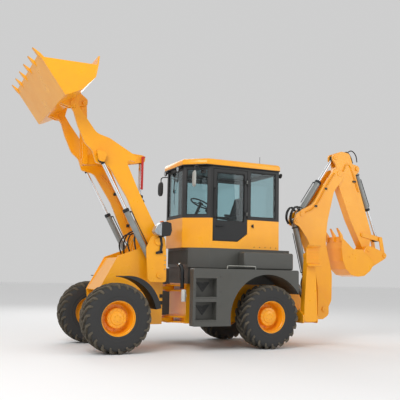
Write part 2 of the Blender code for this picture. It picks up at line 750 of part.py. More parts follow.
def add_knuckle(frame, side, level, part):
    """Add one of the two fixed knuckles of a door hinge."""
    near = level + part * (0.030 + GAP)
    far = near + part * 0.040
    low, high = min(near, far), max(near, far)
    y_low, y_high = sorted((side * (CAB_HALF - 0.02), side * DOOR_HINGE_Y))
    join(frame, box((DOOR_BACK - 0.045, DOOR_BACK - 0.004), (y_low, y_high), (low, high)),
         rod((DOOR_BACK, side * DOOR_HINGE_Y, low), (DOOR_BACK, side * DOOR_HINGE_Y, high),
             DOOR_HINGE_RADIUS, 12))


def make_door(side, parent):
    """Make one rear-hinged cab door with its window cut."""
    front, back = DOOR_FRONT - DOOR_GAP, DOOR_BACK + DOOR_GAP
    low, high = DOOR_SILL_Z + DOOR_GAP, DOOR_HEAD_Z - DOOR_GAP
    outline = [(front, low), (front, high), (back, high), (back, low + 0.14),
               (back + 0.185, low)]
    rail = DOOR_RAIL
    window = [(front - rail, DOOR_KICK_Z, 0.03), (front - rail, high - rail, 0.03),
              (back + rail, high - rail, 0.03), (back + rail, DOOR_KICK_Z, 0.03)]
    outer = CAB_HALF
    door = flat(outline, outer - DOOR_THICK, outer)
    cut(door, flat(window, outer - 0.2, outer + 0.2))
    for level in DOOR_HINGES_Z:
        join(door, box((DOOR_BACK, DOOR_BACK + 0.05), (outer - 0.01, DOOR_HINGE_Y + 0.006),
                       (level - 0.03, level + 0.03)),
             rod((DOOR_BACK, DOOR_HINGE_Y, level - 0.03), (DOOR_BACK, DOOR_HINGE_Y, level + 0.03),
                 DOOR_HINGE_RADIUS, 12))
    label = "left"
    if side < 0:
        other = mirrored(door)
        bpy.data.objects.remove(door, do_unlink=True)
        door = other
        label = "right"
    return finish(door, "door_" + label, "black", (DOOR_BACK, side * DOOR_HINGE_Y, low), parent)


def make_roof(parent):
    """Make the roof slab, wider than the cab all round."""
    over = ROOF_OVERHANG
    plan = [(CAB_FRONT + over, -CAB_FRONT_HALF - 0.06, 0.05),
            (CAB_FRONT + over, CAB_FRONT_HALF + 0.06, 0.05),
            (CAB_CORNER_X + 0.10, CAB_HALF + over, 0.08), (CAB_BACK - 0.01, CAB_HALF + over, 0.08),
            (CAB_BACK - 0.01, -CAB_HALF - over, 0.08), (CAB_CORNER_X + 0.10, -CAB_HALF - over, 0.08)]
    roof = flat(plan, CAB_TOP_Z + GAP, CAB_TOP_Z + ROOF_THICK, "XY")
    return finish(roof, "cab_roof", "yellow", None, parent)


def make_seat(parent):
    """Make the driver's seat on its pedestal."""
    floor = DECK_TOP + CAB_FLOOR + GAP * 2
    half = SEAT_WIDTH / 2
    seat = [(SEAT_X - 0.20, floor + 0.25), (SEAT_X + 0.27, floor + 0.27, 0.03),
            (SEAT_X + 0.27, floor + 0.39, 0.04), (SEAT_X - 0.10, floor + 0.36, 0.03),
            (SEAT_X - 0.22, floor + 0.98, 0.04), (SEAT_X - 0.33, floor + 0.96, 0.04)]
    shape = flat(seat, -half, half)
    join(shape, box((SEAT_X - 0.13, SEAT_X + 0.18), (-0.16, 0.16), (floor, floor + 0.27)))
    return finish(shape, "seat", "cloth", None, parent)


def make_steering(parent):
    """Make the steering console with its column and wheel."""
    floor = DECK_TOP + CAB_FLOOR + GAP * 2
    console = box((STEERING_X - 0.02, STEERING_X + 0.12), (-0.13, 0.13), (floor, floor + 0.52))
    foot = Vector((STEERING_X + 0.04, 0, floor + 0.48))
    tip = Vector((STEERING_X - 0.10, 0, floor + 0.78))
    axis = (tip - foot).normalized()
    join(console, rod(foot, tip, 0.025, 12))
    profile = []
    for step in range(6):
        angle = 2 * math.pi * step / 6
        profile.append((STEERING_WHEEL_RADIUS + 0.014 * math.cos(angle), 0.014 * math.sin(angle)))
    wheel = turned(profile, (0, 0, 0), steps=24)
    join(wheel, rod((-STEERING_WHEEL_RADIUS, 0, 0), (STEERING_WHEEL_RADIUS, 0, 0), 0.010, 8))
    wheel.data.transform(Matrix.Translation(tip) @ axis.to_track_quat("Y", "X").to_matrix().to_4x4())
    join(console, wheel)
    return finish(console, "steering_console", "black", None, parent)


# ---------------------------------------------------------------- front frame
def make_front_frame():
    """Make the front frame: tongues, tower plates and the loader's hinge cheeks."""
    back = FRONT_FRAME_BACK
    notch_top = AXLE_Z + AXLE_TUBE_RADIUS + GAP
    outline = [
        (back, 0.400), (FRONT_X - 0.30, 0.400), (FRONT_X - 0.12, notch_top),
        (FRONT_X + 0.12, notch_top), (FRONT_X + 0.17, 0.95), (1.215, 1.500, 0.05),
        (0.840, 1.640, 0.10), (ARM_PIVOT[0] + 0.12, ARM_PIVOT[1] + 0.11, 0.09),
        (ARM_PIVOT[0] - 0.12, ARM_PIVOT[1] + 0.11, 0.09), (back + 0.03, 1.55), (back, 1.120)]
    inner = TOWER_HALF - TOWER_PLATE
    frame = flat(outline, inner, TOWER_HALF)
    web = inner + 0.01
    join(frame,
         flat(outline, -TOWER_HALF, -inner),
         box((back + INSET, back + FRAME_PLATE), (-web, web), (0.405, 1.100)),
         box((FRONT_X - 0.205, FRONT_X - 0.178), (-web, web), (0.640, 1.350)))
    slope = band([(FRONT_X + 0.165, 0.95), (1.195, 1.480)], 0.025)
    join(frame, flat(slope, -web, web))
    for side in (-1, 1):
        y_low, y_high = sorted((side * CHEEK_INNER, side * (CHEEK_INNER + CHEEK_PLATE)))
        cheek = [(0.440, 1.090, 0.04), (0.760, 1.090, 0.06), (0.800, 1.640, 0.06),
                 (ARM_PIVOT[0] + 0.11, ARM_PIVOT[1] + 0.10, 0.09),
                 (ARM_PIVOT[0] - 0.12, ARM_PIVOT[1] + 0.10, 0.09), (0.445, 1.500)]
        join(frame, flat(cheek, y_low, y_high))
        web_low, web_high = sorted((side * (TOWER_HALF - 0.01), side * (CHEEK_INNER + 0.01)))
        join(frame, box((0.445, 0.470), (web_low, web_high), (1.110, 1.560)))
        pin_low, pin_high = sorted((side * (TOWER_HALF - 0.02),
                                    side * (CHEEK_INNER + CHEEK_PLATE + 0.008)))
        join(frame, across(ARM_PIVOT, pin_low, pin_high, ARM_PIN_RADIUS),
             across(LIFT_BASE, pin_low, pin_high, 0.030))
    for near in (-0.091, 0.066):
        lug = [(0.640, 1.440), (0.900, 1.440), (TILT_BASE[0] + 0.06, TILT_BASE[1] + 0.06, 0.055),
               (TILT_BASE[0] - 0.06, TILT_BASE[1] + 0.06, 0.055)]
        join(frame, flat(lug, near, near + 0.025))
    join(frame, box((0.620, 0.920), (-web, web), (1.420, 1.450)),
         across(TILT_BASE, -0.080, 0.080, 0.028))
    for tongue in (UPPER_TONGUE_Z, LOWER_TONGUE_Z):
        plan = [(back + 0.01, 0.30), (PIVOT_X - 0.08, 0.085, 0.075), (PIVOT_X - 0.08, -0.085, 0.075),
                (back + 0.01, -0.30)]
        join(frame, flat(plan, tongue - TONGUE_THICK / 2, tongue + TONGUE_THICK / 2, "XY"))
        cut(frame, hole((PIVOT_X, 0, tongue - 0.1), (PIVOT_X, 0, tongue + 0.1),
                        HINGE_PIN_RADIUS))
    add_mudguard_stays(frame)
    return finish(frame, "front_frame", "yellow", (PIVOT_X, 0, AXLE_Z))


def add_mudguard_stays(frame):
    """Add the bars that carry the front mudguards."""
    for side in (-1, 1):
        for angle in (140, 163):
            turn = math.radians(angle)
            reach = MUDGUARD_RADIUS + MUDGUARD_THICK / 2
            x = FRONT_X + reach * math.cos(turn)
            z = AXLE_Z + reach * math.sin(turn)
            join(frame, rod((x, side * (TOWER_HALF - 0.01), z),
                            (x, side * (MUDGUARD_INNER - GAP), z), 0.014, 8))


def make_mudguard(side, parent):
    """Make one front mudguard: a curved sheet behind and over the wheel."""
    arc = []
    for step in range(13):
        angle = math.radians(66 + (168 - 66) * step / 12)
        arc.append((FRONT_X + MUDGUARD_RADIUS * math.cos(angle),
                    AXLE_Z + MUDGUARD_RADIUS * math.sin(angle)))
    sheet = band(arc, -MUDGUARD_THICK)
    low, high = sorted((side * MUDGUARD_INNER, side * MUDGUARD_OUTER))
    guard = flat(sheet, low, high)
    label = "left" if side > 0 else "right"
    return finish(guard, "mudguard_" + label, "black", None, parent)


# ---------------------------------------------------------------- loader
def make_loader_arms(parent):
    """Make both loader arms with their cross tube, lift lugs and crank lugs."""
    outer = ARM_INNER + ARM_THICK
    outline = [
        (ARM_PIVOT[0] - 0.115, ARM_PIVOT[1] - 0.06, 0.09),
        (ARM_PIVOT[0] + 0.06, ARM_PIVOT[1] - 0.115, 0.09),
        (0.830, 1.820, 0.10), (1.120, 2.454, 0.60), (1.440, 2.940, 0.15),
        (LIFT_EYE[0] - 0.040, LIFT_EYE[1] - 0.070, 0.05), (LIFT_EYE[0] + 0.075, LIFT_EYE[1] - 0.050, 0.05),
        (1.730, 3.180, 0.08), (1.860, 3.290, 0.20), (1.985, 3.560, 0.15), (2.060, 3.780, 0.05),
        (BUCKET_PIVOT[0] + 0.057, BUCKET_PIVOT[1] - 0.010, 0.04),
        (BUCKET_PIVOT[0] + 0.057, BUCKET_PIVOT[1] + 0.057, 0.05),
        (BUCKET_PIVOT[0] - 0.060, BUCKET_PIVOT[1] + 0.057, 0.055), (1.910, 3.780, 0.15),
        (1.670, 3.470, 0.20),
        (1.450, 3.410, 0.10), (0.960, 3.140, 0.03), (1.000, 3.060, 0.02), (1.170, 3.090, 0.05),
        (0.933, 2.591, 0.60), (0.553, 1.900, 0.20)]
    arms = flat(outline, ARM_INNER, outer)
    join(arms, flat(outline, -outer, -ARM_INNER),
         across(CRANK_PIVOT, -ARM_INNER - 0.01, ARM_INNER + 0.01, ARM_TUBE_RADIUS))
    for side in (-1, 1):
        near, far = CRANK_HALF + SIDE_PLAY, CRANK_HALF + SIDE_PLAY + 0.03
        low, high = sorted((side * near, side * far))
        add_lift_lug(arms, side, outer)
        boss_low, boss_high = sorted((side * (outer - 0.01), side * (CHEEK_INNER - SIDE_PLAY)))
        join(arms, across(ARM_PIVOT, boss_low, boss_high, 0.075))
        boss_low, boss_high = sorted((side * (TOWER_HALF + SIDE_PLAY), side * (ARM_INNER + 0.01)))
        join(arms, across(ARM_PIVOT, boss_low, boss_high, 0.075))
    gap = CRANK_HALF + SIDE_PLAY
    cut(arms, across(CRANK_PIVOT, -gap, gap, ARM_TUBE_RADIUS + 0.2, 24))
    join(arms, across(CRANK_PIVOT, -gap - 0.02, gap + 0.02, 0.040))
    cut(arms, hole_across(ARM_PIVOT, -1.0, 1.0, ARM_PIN_RADIUS))
    join(arms, across(BUCKET_PIVOT, -outer - 0.045, -ARM_INNER + 0.045, 0.032),
         across(BUCKET_PIVOT, ARM_INNER - 0.045, outer + 0.045, 0.032))
    return finish(arms, "loader_arms", "yellow", at(ARM_PIVOT), parent)


def add_lift_lug(arms, side, outer):
    """Add the lug outside one arm that takes a lift cylinder's rod."""
    eye = LIFT_EYE
    cheek_in, cheek_out = LIFT_Y + 0.032, LIFT_Y + 0.050
    lug = [(eye[0] - 0.045, eye[1] - 0.050, 0.03), (eye[0] + 0.050, eye[1] - 0.030, 0.03),
           (eye[0] + 0.090, eye[1] + 0.150, 0.03), (eye[0] - 0.090, eye[1] + 0.110, 0.03)]
    low, high = sorted((side * cheek_in, side * cheek_out))
    join(arms, flat(lug, low, high))
    block = [(eye[0] - 0.040, eye[1] + 0.092), (eye[0] + 0.076, eye[1] + 0.092),
             (eye[0] + 0.085, eye[1] + 0.145), (eye[0] - 0.080, eye[1] + 0.110)]
    low, high = sorted((side * (outer - 0.01), side * (cheek_in + 0.005)))
    join(arms, flat(block, low, high))


def make_bell_crank(parent):
    """Make the bell crank that turns the tilt cylinder's push round to the bucket."""
    centre, top, low = CRANK_PIVOT, CRANK_TOP, CRANK_LOW
    outline = [(top[0] - 0.060, top[1] + 0.060, 0.05), (top[0] - 0.060, top[1] - 0.060, 0.05),
               (centre[0] - 0.10, centre[1] - 0.13, 0.10), (centre[0] + 0.10, centre[1] - 0.13, 0.10),
               (low[0] + 0.060, low[1] - 0.060, 0.05), (low[0] + 0.060, low[1] + 0.060, 0.05),
               (centre[0] + 0.08, centre[1] + 0.13, 0.10), (centre[0] - 0.08, centre[1] + 0.13, 0.10)]
    slot = CRANK_SLOT_HALF
    crank = flat(outline, slot, CRANK_HALF)
    join(crank, flat(outline, -CRANK_HALF, -slot), across(centre, -slot - 0.01, slot + 0.01, 0.075),
         across(low, -slot - 0.01, slot + 0.01, 0.045))
    cut(crank, hole_across(centre, -0.1, 0.1, 0.040))
    return finish(crank, "bell_crank", "yellow", at(centre), parent)


def make_tilt_link(parent):
    """Make the pair of straps from the bell crank to the bucket."""
    along = (Vector(CRANK_LOW) - Vector(LINK_PIN)).normalized()
    side_way = Vector((-along.y, along.x))
    ends = []
    for point, push in ((Vector(LINK_PIN), -0.055), (Vector(CRANK_LOW), 0.055)):
        first = point + along * push + side_way * 0.045
        second = point + along * push - side_way * 0.045
        ends.append(((first.x, first.y, 0.04), (second.x, second.y, 0.04)))
    outline = [ends[0][0], ends[0][1], ends[1][1], ends[1][0]]
    near = CRANK_HALF + RUN_CLEAR
    link = flat(outline, near, near + 0.022)
    join(link, flat(outline, -near - 0.022, -near),
         across(LINK_PIN, -near - 0.075, near + 0.075, 0.028))
    return finish(link, "tilt_link", "yellow", at(LINK_PIN), parent)


def make_loader_bucket(parent):
    """Make the loader bucket: rolled sheet, end plates, spill guard, teeth and ears."""
    lip = Vector(BUCKET_LIP)
    heel = Vector((2.330, 3.862))
    sheet = BUCKET_SHEET
    profile = [tuple(lip), (2.395, 3.950), tuple(heel), (2.255, 3.890), (2.060, 3.990),
               (1.870, 4.205), (1.838, 4.400), (1.825, 4.540)]
    shell = flat(band(profile, -sheet), -BUCKET_HALF, BUCKET_HALF)
    end_plate = [(2.690, 4.390)] + beside(profile, -sheet / 2)[1:-1]
    for side in (-1, 1):
        low, high = sorted((side * (BUCKET_HALF - sheet - INSET), side * (BUCKET_HALF - INSET)))
        join(shell, flat(end_plate, low, high))
    tooth_dir = (Vector(BUCKET_TOOTH_TIP) - lip).normalized()
    across_dir = Vector((-tooth_dir.y, tooth_dir.x))
    tooth = []
    for reach, half in ((-0.10, 0.022), (-0.10, -0.022), (0.0, -0.022)):
        point = lip + tooth_dir * reach + across_dir * half
        tooth.append(tuple(point))
    tooth += [BUCKET_TOOTH_TIP, tuple(lip + across_dir * 0.022)]
    for index in range(BUCKET_TEETH):
        y = -BUCKET_HALF + 0.035 + (2 * BUCKET_HALF - 0.07) * index / (BUCKET_TEETH - 1)
        join(shell, flat(tooth, y - 0.033, y + 0.033))
    add_bucket_ears(shell)
    return finish(shell, "loader_bucket", "yellow", at(BUCKET_PIVOT), parent)


def add_bucket_ears(shell):
    """Add the ears on the bucket's back for the arms and for the tilt link."""
    outer = ARM_INNER + ARM_THICK
    arm_ear = [(BUCKET_PIVOT[0] - 0.065, BUCKET_PIVOT[1] - 0.060, 0.05),
               (BUCKET_PIVOT[0] + 0.065, BUCKET_PIVOT[1] - 0.065, 0.05),
               (2.300, 3.885), (2.060, 4.000), (1.960, 4.110)]
    for side in (-1, 1):
        for near in (ARM_INNER - 0.006 - BUCKET_EAR, outer + 0.006):
            low, high = sorted((side * near, side * (near + BUCKET_EAR)))
            ear = flat(arm_ear, low, high)
            cut(ear, hole_across(BUCKET_PIVOT, -1.0, 1.0, 0.032))
            join(shell, ear)
        link_ear = [(LINK_PIN[0] - 0.050, LINK_PIN[1] + 0.060, 0.05),
                    (LINK_PIN[0] - 0.050, LINK_PIN[1] - 0.060, 0.05),
                    (2.050, 3.985), (1.880, 4.200)]
        near = CRANK_HALF + RUN_CLEAR + 0.022 + 0.004
        low, high = sorted((side * near, side * (near + BUCKET_EAR)))
        ear = flat(link_ear, low, high)
        cut(ear, hole_across(LINK_PIN, -1.0, 1.0, 0.028))
        join(shell, ear)


def make_lift_cylinders(frame):
    """Make both lift cylinders."""
    for side, label in ((1, "left"), (-1, "right")):
        base, eye = at(LIFT_BASE, side * LIFT_Y), at(LIFT_EYE, side * LIFT_Y)
        tube_part = barrel(base, eye, LIFT_BARREL_RADIUS, LIFT_BARREL_LENGTH, LIFT_ROD_RADIUS,
                           0.055, 0.080, 0.030)
        finish(tube_part, "lift_barrel_" + label, "steel", base, frame, smooth=True)
        inside = 0.090 + LIFT_RETRACT
        rod_part = piston_rod(base, eye, inside, LIFT_ROD_RADIUS, 0.050, 0.050)
        finish(rod_part, "lift_rod_" + label, "chrome", eye, tube_part, smooth=True)


def make_tilt_cylinder(frame):
    """Make the tilt cylinder between the arms."""
    base, eye = at(TILT_BASE), at(CRANK_TOP)
    body = barrel(base, eye, TILT_BARREL_RADIUS, TILT_BARREL_LENGTH, TILT_ROD_RADIUS, 0.058, 0.130,
                  0.028)
    finish(body, "tilt_barrel", "steel", base, frame, smooth=True)
    stem = piston_rod(base, eye, 0.525, TILT_ROD_RADIUS, 0.055, 2 * CRANK_SLOT_HALF - 0.010)
    finish(stem, "tilt_rod", "chrome", eye, body, smooth=True)


# ---------------------------------------------------------------- rear digging arm
def make_swing_post(parent):
    """Make the post that swings between the frame's lugs and carries the boom."""
    low, high = SWING_LUGS_Z
    hub = rod((SWING_X, 0, low + GAP), (SWING_X, 0, high - GAP), 0.090)
    clear = SWING_EYE_RADIUS + RUN_CLEAR
    back = SWING_X - clear - 0.03
    join(hub,
         rod((SWING_X, 0, low - SWING_LUG_PLATE - 0.01), (SWING_X, 0, high + SWING_LUG_PLATE),
             SWING_PIN_RADIUS),
         box((back, SWING_X), (-0.080, 0.080), (low + 0.02, high - 0.02)),
         box((back - 0.03, back), (-POST_CHEEK_INNER - 0.01, POST_CHEEK_INNER + 0.01),
             (0.430, 1.010)))
    cheek = [(back - 0.005, 0.430), (back - 0.005, 1.010), (back - 0.060, 1.010, 0.03),
             (BOOM_FOOT[0] - 0.115, 0.720, 0.09), (BOOM_FOOT[0] - 0.115, 0.510, 0.09),
             (BOOM_FOOT[0] + 0.02, 0.430)]
    for side in (-1, 1):
        inner, outer = POST_CHEEK_INNER, POST_CHEEK_INNER + POST_CHEEK_PLATE
        y_low, y_high = sorted((side * inner, side * outer))
        join(hub, flat(cheek, y_low, y_high))
        base = high + SWING_LUG_PLATE + RUN_CLEAR
        ear = [(back - 0.010, base), (BOOM_CYL_FOOT[0] + 0.070, base),
               (BOOM_CYL_FOOT[0] + 0.055, BOOM_CYL_FOOT[1] + 0.055, 0.05),
               (BOOM_CYL_FOOT[0] - 0.055, BOOM_CYL_FOOT[1] + 0.055, 0.05),
               (back - 0.010, 1.005)]
        y_low, y_high = sorted((side * 0.056, side * 0.086))
        join(hub, flat(ear, y_low, y_high))
    cut(hub, box((back - 0.05, back + 0.02), (-0.0555, 0.0555), (0.870, 1.05)))
    join(hub, across(BOOM_FOOT, -POST_CHEEK_INNER - 0.04, POST_CHEEK_INNER + 0.04, BOOM_PIN_RADIUS))
    return finish(hub, "swing_post", "yellow", (SWING_X, 0, low), parent)


def make_boom(parent):
    """Make the boom with its foot, its hump and its forked tip."""
    foot, tip = BOOM_FOOT, STICK_PIVOT
    outline = [
        (foot[0] + 0.085, foot[1] - 0.085, 0.07), (-2.893, 1.030, 0.10), (-2.800, 1.600, 0.50),
        (-2.660, 1.950, 0.40),
        (-2.470, 2.190, 0.08), (-2.340, 2.240, 0.07), (-2.400, 2.420, 0.06), (-2.540, 2.520, 0.06),
        (-2.790, 2.640, 0.30), (-3.040, 3.040, 0.60), (tip[0] + 0.150, tip[1] + 0.060, 0.10),
        (tip[0] - 0.020, tip[1] + 0.150, 0.12), (tip[0] - 0.100, tip[1] - 0.090, 0.10),
        (-3.290, 2.930, 0.20), (-3.130, 2.320, 0.80), (-3.080, 1.900, 0.50), (-3.230, 1.300, 0.60),
        (-3.215, 0.780, 0.20), (foot[0] - 0.085, foot[1] - 0.085, 0.07)]
    boom = flat(outline, -BOOM_HALF, BOOM_HALF)
    slot = BOOM_SLOT_HALF
    cut(boom,
        across(tip, -STICK_HALF - RUN_CLEAR, STICK_HALF + RUN_CLEAR, STICK_SWEEP_RADIUS, 32),
        flat([(-2.20, 3.20), (-3.301, 3.190), (-2.640, 2.424), (-2.660, 2.360), (-2.570, 2.140),
              (-2.730, 1.800), (-2.905, 1.150), (-2.860, 0.400), (-2.20, 0.900)], -slot, slot))
    join(boom,
         across(BOOM_CYL_TOP, -slot - 0.02, slot + 0.02, 0.028),
         across(CROWD_BASE, -slot - 0.02, slot + 0.02, 0.028),
         across(foot, -POST_CHEEK_INNER + SIDE_PLAY, POST_CHEEK_INNER - SIDE_PLAY, 0.075),
         across(tip, -STICK_HALF - 0.02, STICK_HALF + 0.02, 0.035))
    cut(boom, hole_across(foot, -0.5, 0.5, BOOM_PIN_RADIUS))
    return finish(boom, "boom", "yellow", at(foot), parent)


def make_stick(parent):
    """Make the stick with its ear for the crowd cylinder and its lugs."""
    pivot, ear, foot = STICK_PIVOT, STICK_EAR, HOE_PIVOT
    outline = [
        (ear[0] + 0.065, ear[1] - 0.050, 0.05), (ear[0] + 0.060, ear[1] + 0.060, 0.05),
        (-3.500, 3.760, 0.10), (-3.700, 3.740, 0.10), (-3.765, 3.560, 0.10), (-4.030, 2.760, 0.50),
        (-4.235, 2.130, 0.10), (foot[0] - 0.075, foot[1] + 0.02, 0.06),
        (foot[0] - 0.03, foot[1] - 0.080, 0.06),
        (foot[0] + 0.075, foot[1] - 0.02, 0.06), (-3.700, 2.390, 0.50), (-3.420, 3.080, 0.10),
        (pivot[0] + 0.095, pivot[1] + 0.02, 0.08), (-3.395, 3.460, 0.10)]
    stick = flat(outline, -STICK_HALF, STICK_HALF)
    cut(stick,
        box((ear[0] - 0.190, ear[0] + 0.2), (-0.050, 0.050), (ear[1] - 0.190, ear[1] + 0.2)),
        hole_across(pivot, -0.2, 0.2, 0.035),
        hole_across(ROCKER_PIVOT, -0.2, 0.2, 0.028))
    lug = [(-3.740, 3.540), (HOE_CYL_BASE[0] - 0.045, HOE_CYL_BASE[1] + 0.060, 0.04),
           (HOE_CYL_BASE[0] - 0.055, HOE_CYL_BASE[1] - 0.055, 0.04), (-3.800, 3.260)]
    for side in (-1, 1):
        low, high = sorted((side * 0.052, side * 0.077))
        join(stick, flat(lug, low, high))
    join(stick, across(HOE_CYL_BASE, -0.065, 0.065, 0.025),
         across(foot, -HOE_EAR_INNER + SIDE_PLAY, HOE_EAR_INNER - SIDE_PLAY, 0.065))
    cut(stick, hole_across(foot, -0.5, 0.5, 0.030))
    return finish(stick, "stick", "yellow", at(pivot), parent)


def make_hoe_bucket(parent):
    """Make the digging bucket: rolled sheet, end plates, teeth and hinge ears."""
    profile = [(-3.385, 2.030), (-3.365, 1.800), (-3.395, 1.560), (-3.470, 1.390), (-3.600, 1.280),
               (-3.760, 1.250), (-3.920, 1.270), (-4.070, 1.375), (-4.170, 1.520), (-4.060, 1.660),
               (-3.930, 1.740)]
    shell = flat(band(profile, -HOE_SHEET), -HOE_HALF, HOE_HALF)
    end_plate = [(-3.400, 2.000)] + beside(profile, -HOE_SHEET / 2)[1:]
    end_plate += [(-3.900, 1.790, 0.03), (-3.650, 1.790, 0.10)]
    for side in (-1, 1):
        low, high = sorted((side * (HOE_HALF - HOE_SHEET - INSET), side * (HOE_HALF - INSET)))
        join(shell, flat(end_plate, low, high))
    for index in range(HOE_TEETH):
        y = -HOE_HALF + 0.035 + (2 * HOE_HALF - 0.07) * index / (HOE_TEETH - 1)
        tooth = [(-3.405, 1.930), (-3.360, 1.930), (-3.345, 2.050), (-3.285, 2.190), (-3.400, 2.050)]
        join(shell, flat(tooth, y - 0.030, y + 0.030))
    pivot, pin = HOE_PIVOT, HOE_LINK_PIN
    ear = [(pivot[0] + 0.065, pivot[1] + 0.065, 0.05), (pivot[0] - 0.050, pivot[1] + 0.070, 0.05),
           (pin[0] - 0.030, pin[1] + 0.055, 0.045), (pin[0] - 0.045, pin[1] - 0.050, 0.045),
           (-4.160, 1.440), (-4.070, 1.400), (-3.950, 1.730), (pivot[0] + 0.130, 1.700)]
    for side in (-1, 1):
        low, high = sorted((side * HOE_EAR_INNER, side * (HOE_EAR_INNER + HOE_EAR_PLATE)))
        plate = flat(ear, low, high)
        cut(plate, hole_across(pin, -1.0, 1.0, 0.028))
        join(shell, plate)
    join(shell, across(pivot, -HOE_EAR_INNER - 0.02, HOE_EAR_INNER + 0.02, 0.030))
    return finish(shell, "hoe_bucket", "yellow", at(pivot), parent)


def strap(first, second, half, grow=0.05):
    """Return the outline of a flat strap between two pins."""
    a, b = Vector(first), Vector(second)
    along = (b - a).normalized()
    side_way = Vector((-along.y, along.x))
    corners = (a - along * grow + side_way * half, a - along * grow - side_way * half,
               b + along * grow - side_way * half, b + along * grow + side_way * half)
    return [(corner.x, corner.y, half * 0.9) for corner in corners]


def make_rocker(parent):
    """Make the pair of rocker plates beside the stick, on their pin."""
    near = STICK_HALF + SIDE_PLAY
    plates = flat(strap(ROCKER_PIVOT, ROCKER_END, 0.048), near, near + ROCKER_PLATE)
    join(plates, flat(strap(ROCKER_PIVOT, ROCKER_END, 0.048), -near - ROCKER_PLATE, -near),
         across(ROCKER_PIVOT, -near - ROCKER_PLATE - 0.005, near + ROCKER_PLATE + 0.005, 0.028))
    return finish(plates, "hoe_rocker", "yellow", at(ROCKER_PIVOT), parent)


def make_hoe_link(parent):
    """Make the pair of link plates pinned to the bucket's ears."""
    near = STICK_HALF + SIDE_PLAY + ROCKER_PLATE + 0.006
    plates = flat(strap(HOE_LINK_PIN, ROCKER_END, 0.042), near, near + ROCKER_PLATE)
    join(plates, flat(strap(HOE_LINK_PIN, ROCKER_END, 0.042), -near - ROCKER_PLATE, -near),
         across(HOE_LINK_PIN, -HOE_EAR_INNER - 0.030, HOE_EAR_INNER + 0.030, 0.028))
    return finish(plates, "hoe_link", "yellow", at(HOE_LINK_PIN), parent)


def make_hoe_cylinders(boom, stick):
    """Make the boom, crowd and bucket cylinders."""
    plans = (
        ("boom", BOOM_CYL_TOP, BOOM_CYL_FOOT, BOOM_CYL_RADIUS, BOOM_CYL_LENGTH, 0.100, boom, 0.028, 0.100),
        ("crowd", CROWD_BASE, STICK_EAR, CROWD_RADIUS, CROWD_LENGTH, 0.620, boom, 0.028, 0.088),
        ("hoe_bucket", HOE_CYL_BASE, ROCKER_END, HOE_CYL_RADIUS, HOE_CYL_LENGTH, 0.700,
         stick, 0.025, 0.160))
    for name, base, eye, radius, length, inside, parent, pin, eye_width in plans:
        body = barrel(at(base), at(eye), radius, length, ROD_RADIUS, 0.055, 0.094, pin)
        finish(body, name + "_barrel", "steel", at(base), parent, smooth=True)
        stem = piston_rod(at(base), at(eye), inside, ROD_RADIUS, 0.045, eye_width)
        finish(stem, name + "_rod", "chrome", at(eye), body, smooth=True)


# ---------------------------------------------------------------- stabilisers
def make_stabiliser(side, frame):
    """Make one flip-up stabiliser: leg, foot pad and cylinder."""
    label = "left" if side > 0 else "right"
    y = side * LEG_Y
    outline = [(LEG_FRONT, LEG_Z - 0.055, 0.05), (LEG_BACK, LEG_Z - 0.055, 0.05), (LEG_BACK, 0.700),
               (-2.270, PAD_PIN_Z), (-2.270, PAD_PIN_Z + 0.055, 0.04), (-2.110, PAD_PIN_Z + 0.055, 0.04),
               (-2.110, PAD_PIN_Z), (LEG_FRONT, 0.700)]
    low, high = sorted((y - LEG_HALF, y + LEG_HALF))
    leg = flat(outline, low, high)
    inner = side * (LEG_Y - LEG_HALF - 0.1)
    wall = side * (LEG_Y + LEG_HALF - 0.022)
    slot_low, slot_high = sorted((inner, wall))
    cut(leg, box((LEG_MID_X - 0.055, LEG_MID_X + 0.055), (slot_low, slot_high), (0.590, 1.020)),
        hole((LEG_BACK - 0.1, y, LEG_Z), (LEG_FRONT + 0.1, y, LEG_Z), 0.028),
        hole((LEG_BACK - 0.1, y, PAD_PIN_Z), (LEG_FRONT + 0.1, y, PAD_PIN_Z), 0.020))
    leg = finish(leg, "stabiliser_leg_" + label, "yellow", (LEG_MID_X, y, LEG_Z), frame)
    make_pad(side, label, leg)
    base = (LEG_MID_X, side * STAB_BASE[0], STAB_BASE[1])
    eye = (LEG_MID_X, side * STAB_EYE[0], STAB_EYE[1])
    body = barrel(base, eye, STAB_RADIUS, STAB_LENGTH, 0.024, 0.045, 0.096, 0.022, "X")
    finish(body, "stabiliser_barrel_" + label, "steel", base, frame, smooth=True)
    stem = piston_rod(base, eye, 0.090, 0.024, 0.040, 0.090, "X")
    finish(stem, "stabiliser_rod_" + label, "chrome", eye, body, smooth=True)


def make_pad(side, label, leg):
    """Make the foot pad, a curved plate on a pin at the leg's end."""
    y = side * LEG_Y
    sole = side * (LEG_Y + PAD_OFFSET)
    line = [(sole + side * 0.060, PAD_PIN_Z - 0.190), (sole, PAD_PIN_Z - 0.130),
            (sole, PAD_PIN_Z + 0.130), (sole + side * 0.060, PAD_PIN_Z + 0.190)]
    pad = flat(band(line, -side * PAD_PLATE), -2.330, -2.050, "YZ")
    for near in (-2.294, -2.104):
        ear = [(side * (LEG_Y + PAD_OFFSET + 0.005), PAD_PIN_Z - 0.06),
               (side * (LEG_Y + PAD_OFFSET + 0.005), PAD_PIN_Z + 0.06),
               (side * (LEG_Y - 0.045), PAD_PIN_Z + 0.040, 0.03),
               (side * (LEG_Y - 0.045), PAD_PIN_Z - 0.040, 0.03)]
        join(pad, flat(ear, near, near + 0.018, "YZ"))
    join(pad, rod((-2.290, y, PAD_PIN_Z), (-2.090, y, PAD_PIN_Z), 0.020))
    return finish(pad, "stabiliser_pad_" + label, "yellow", (LEG_MID_X, y, PAD_PIN_Z), leg)


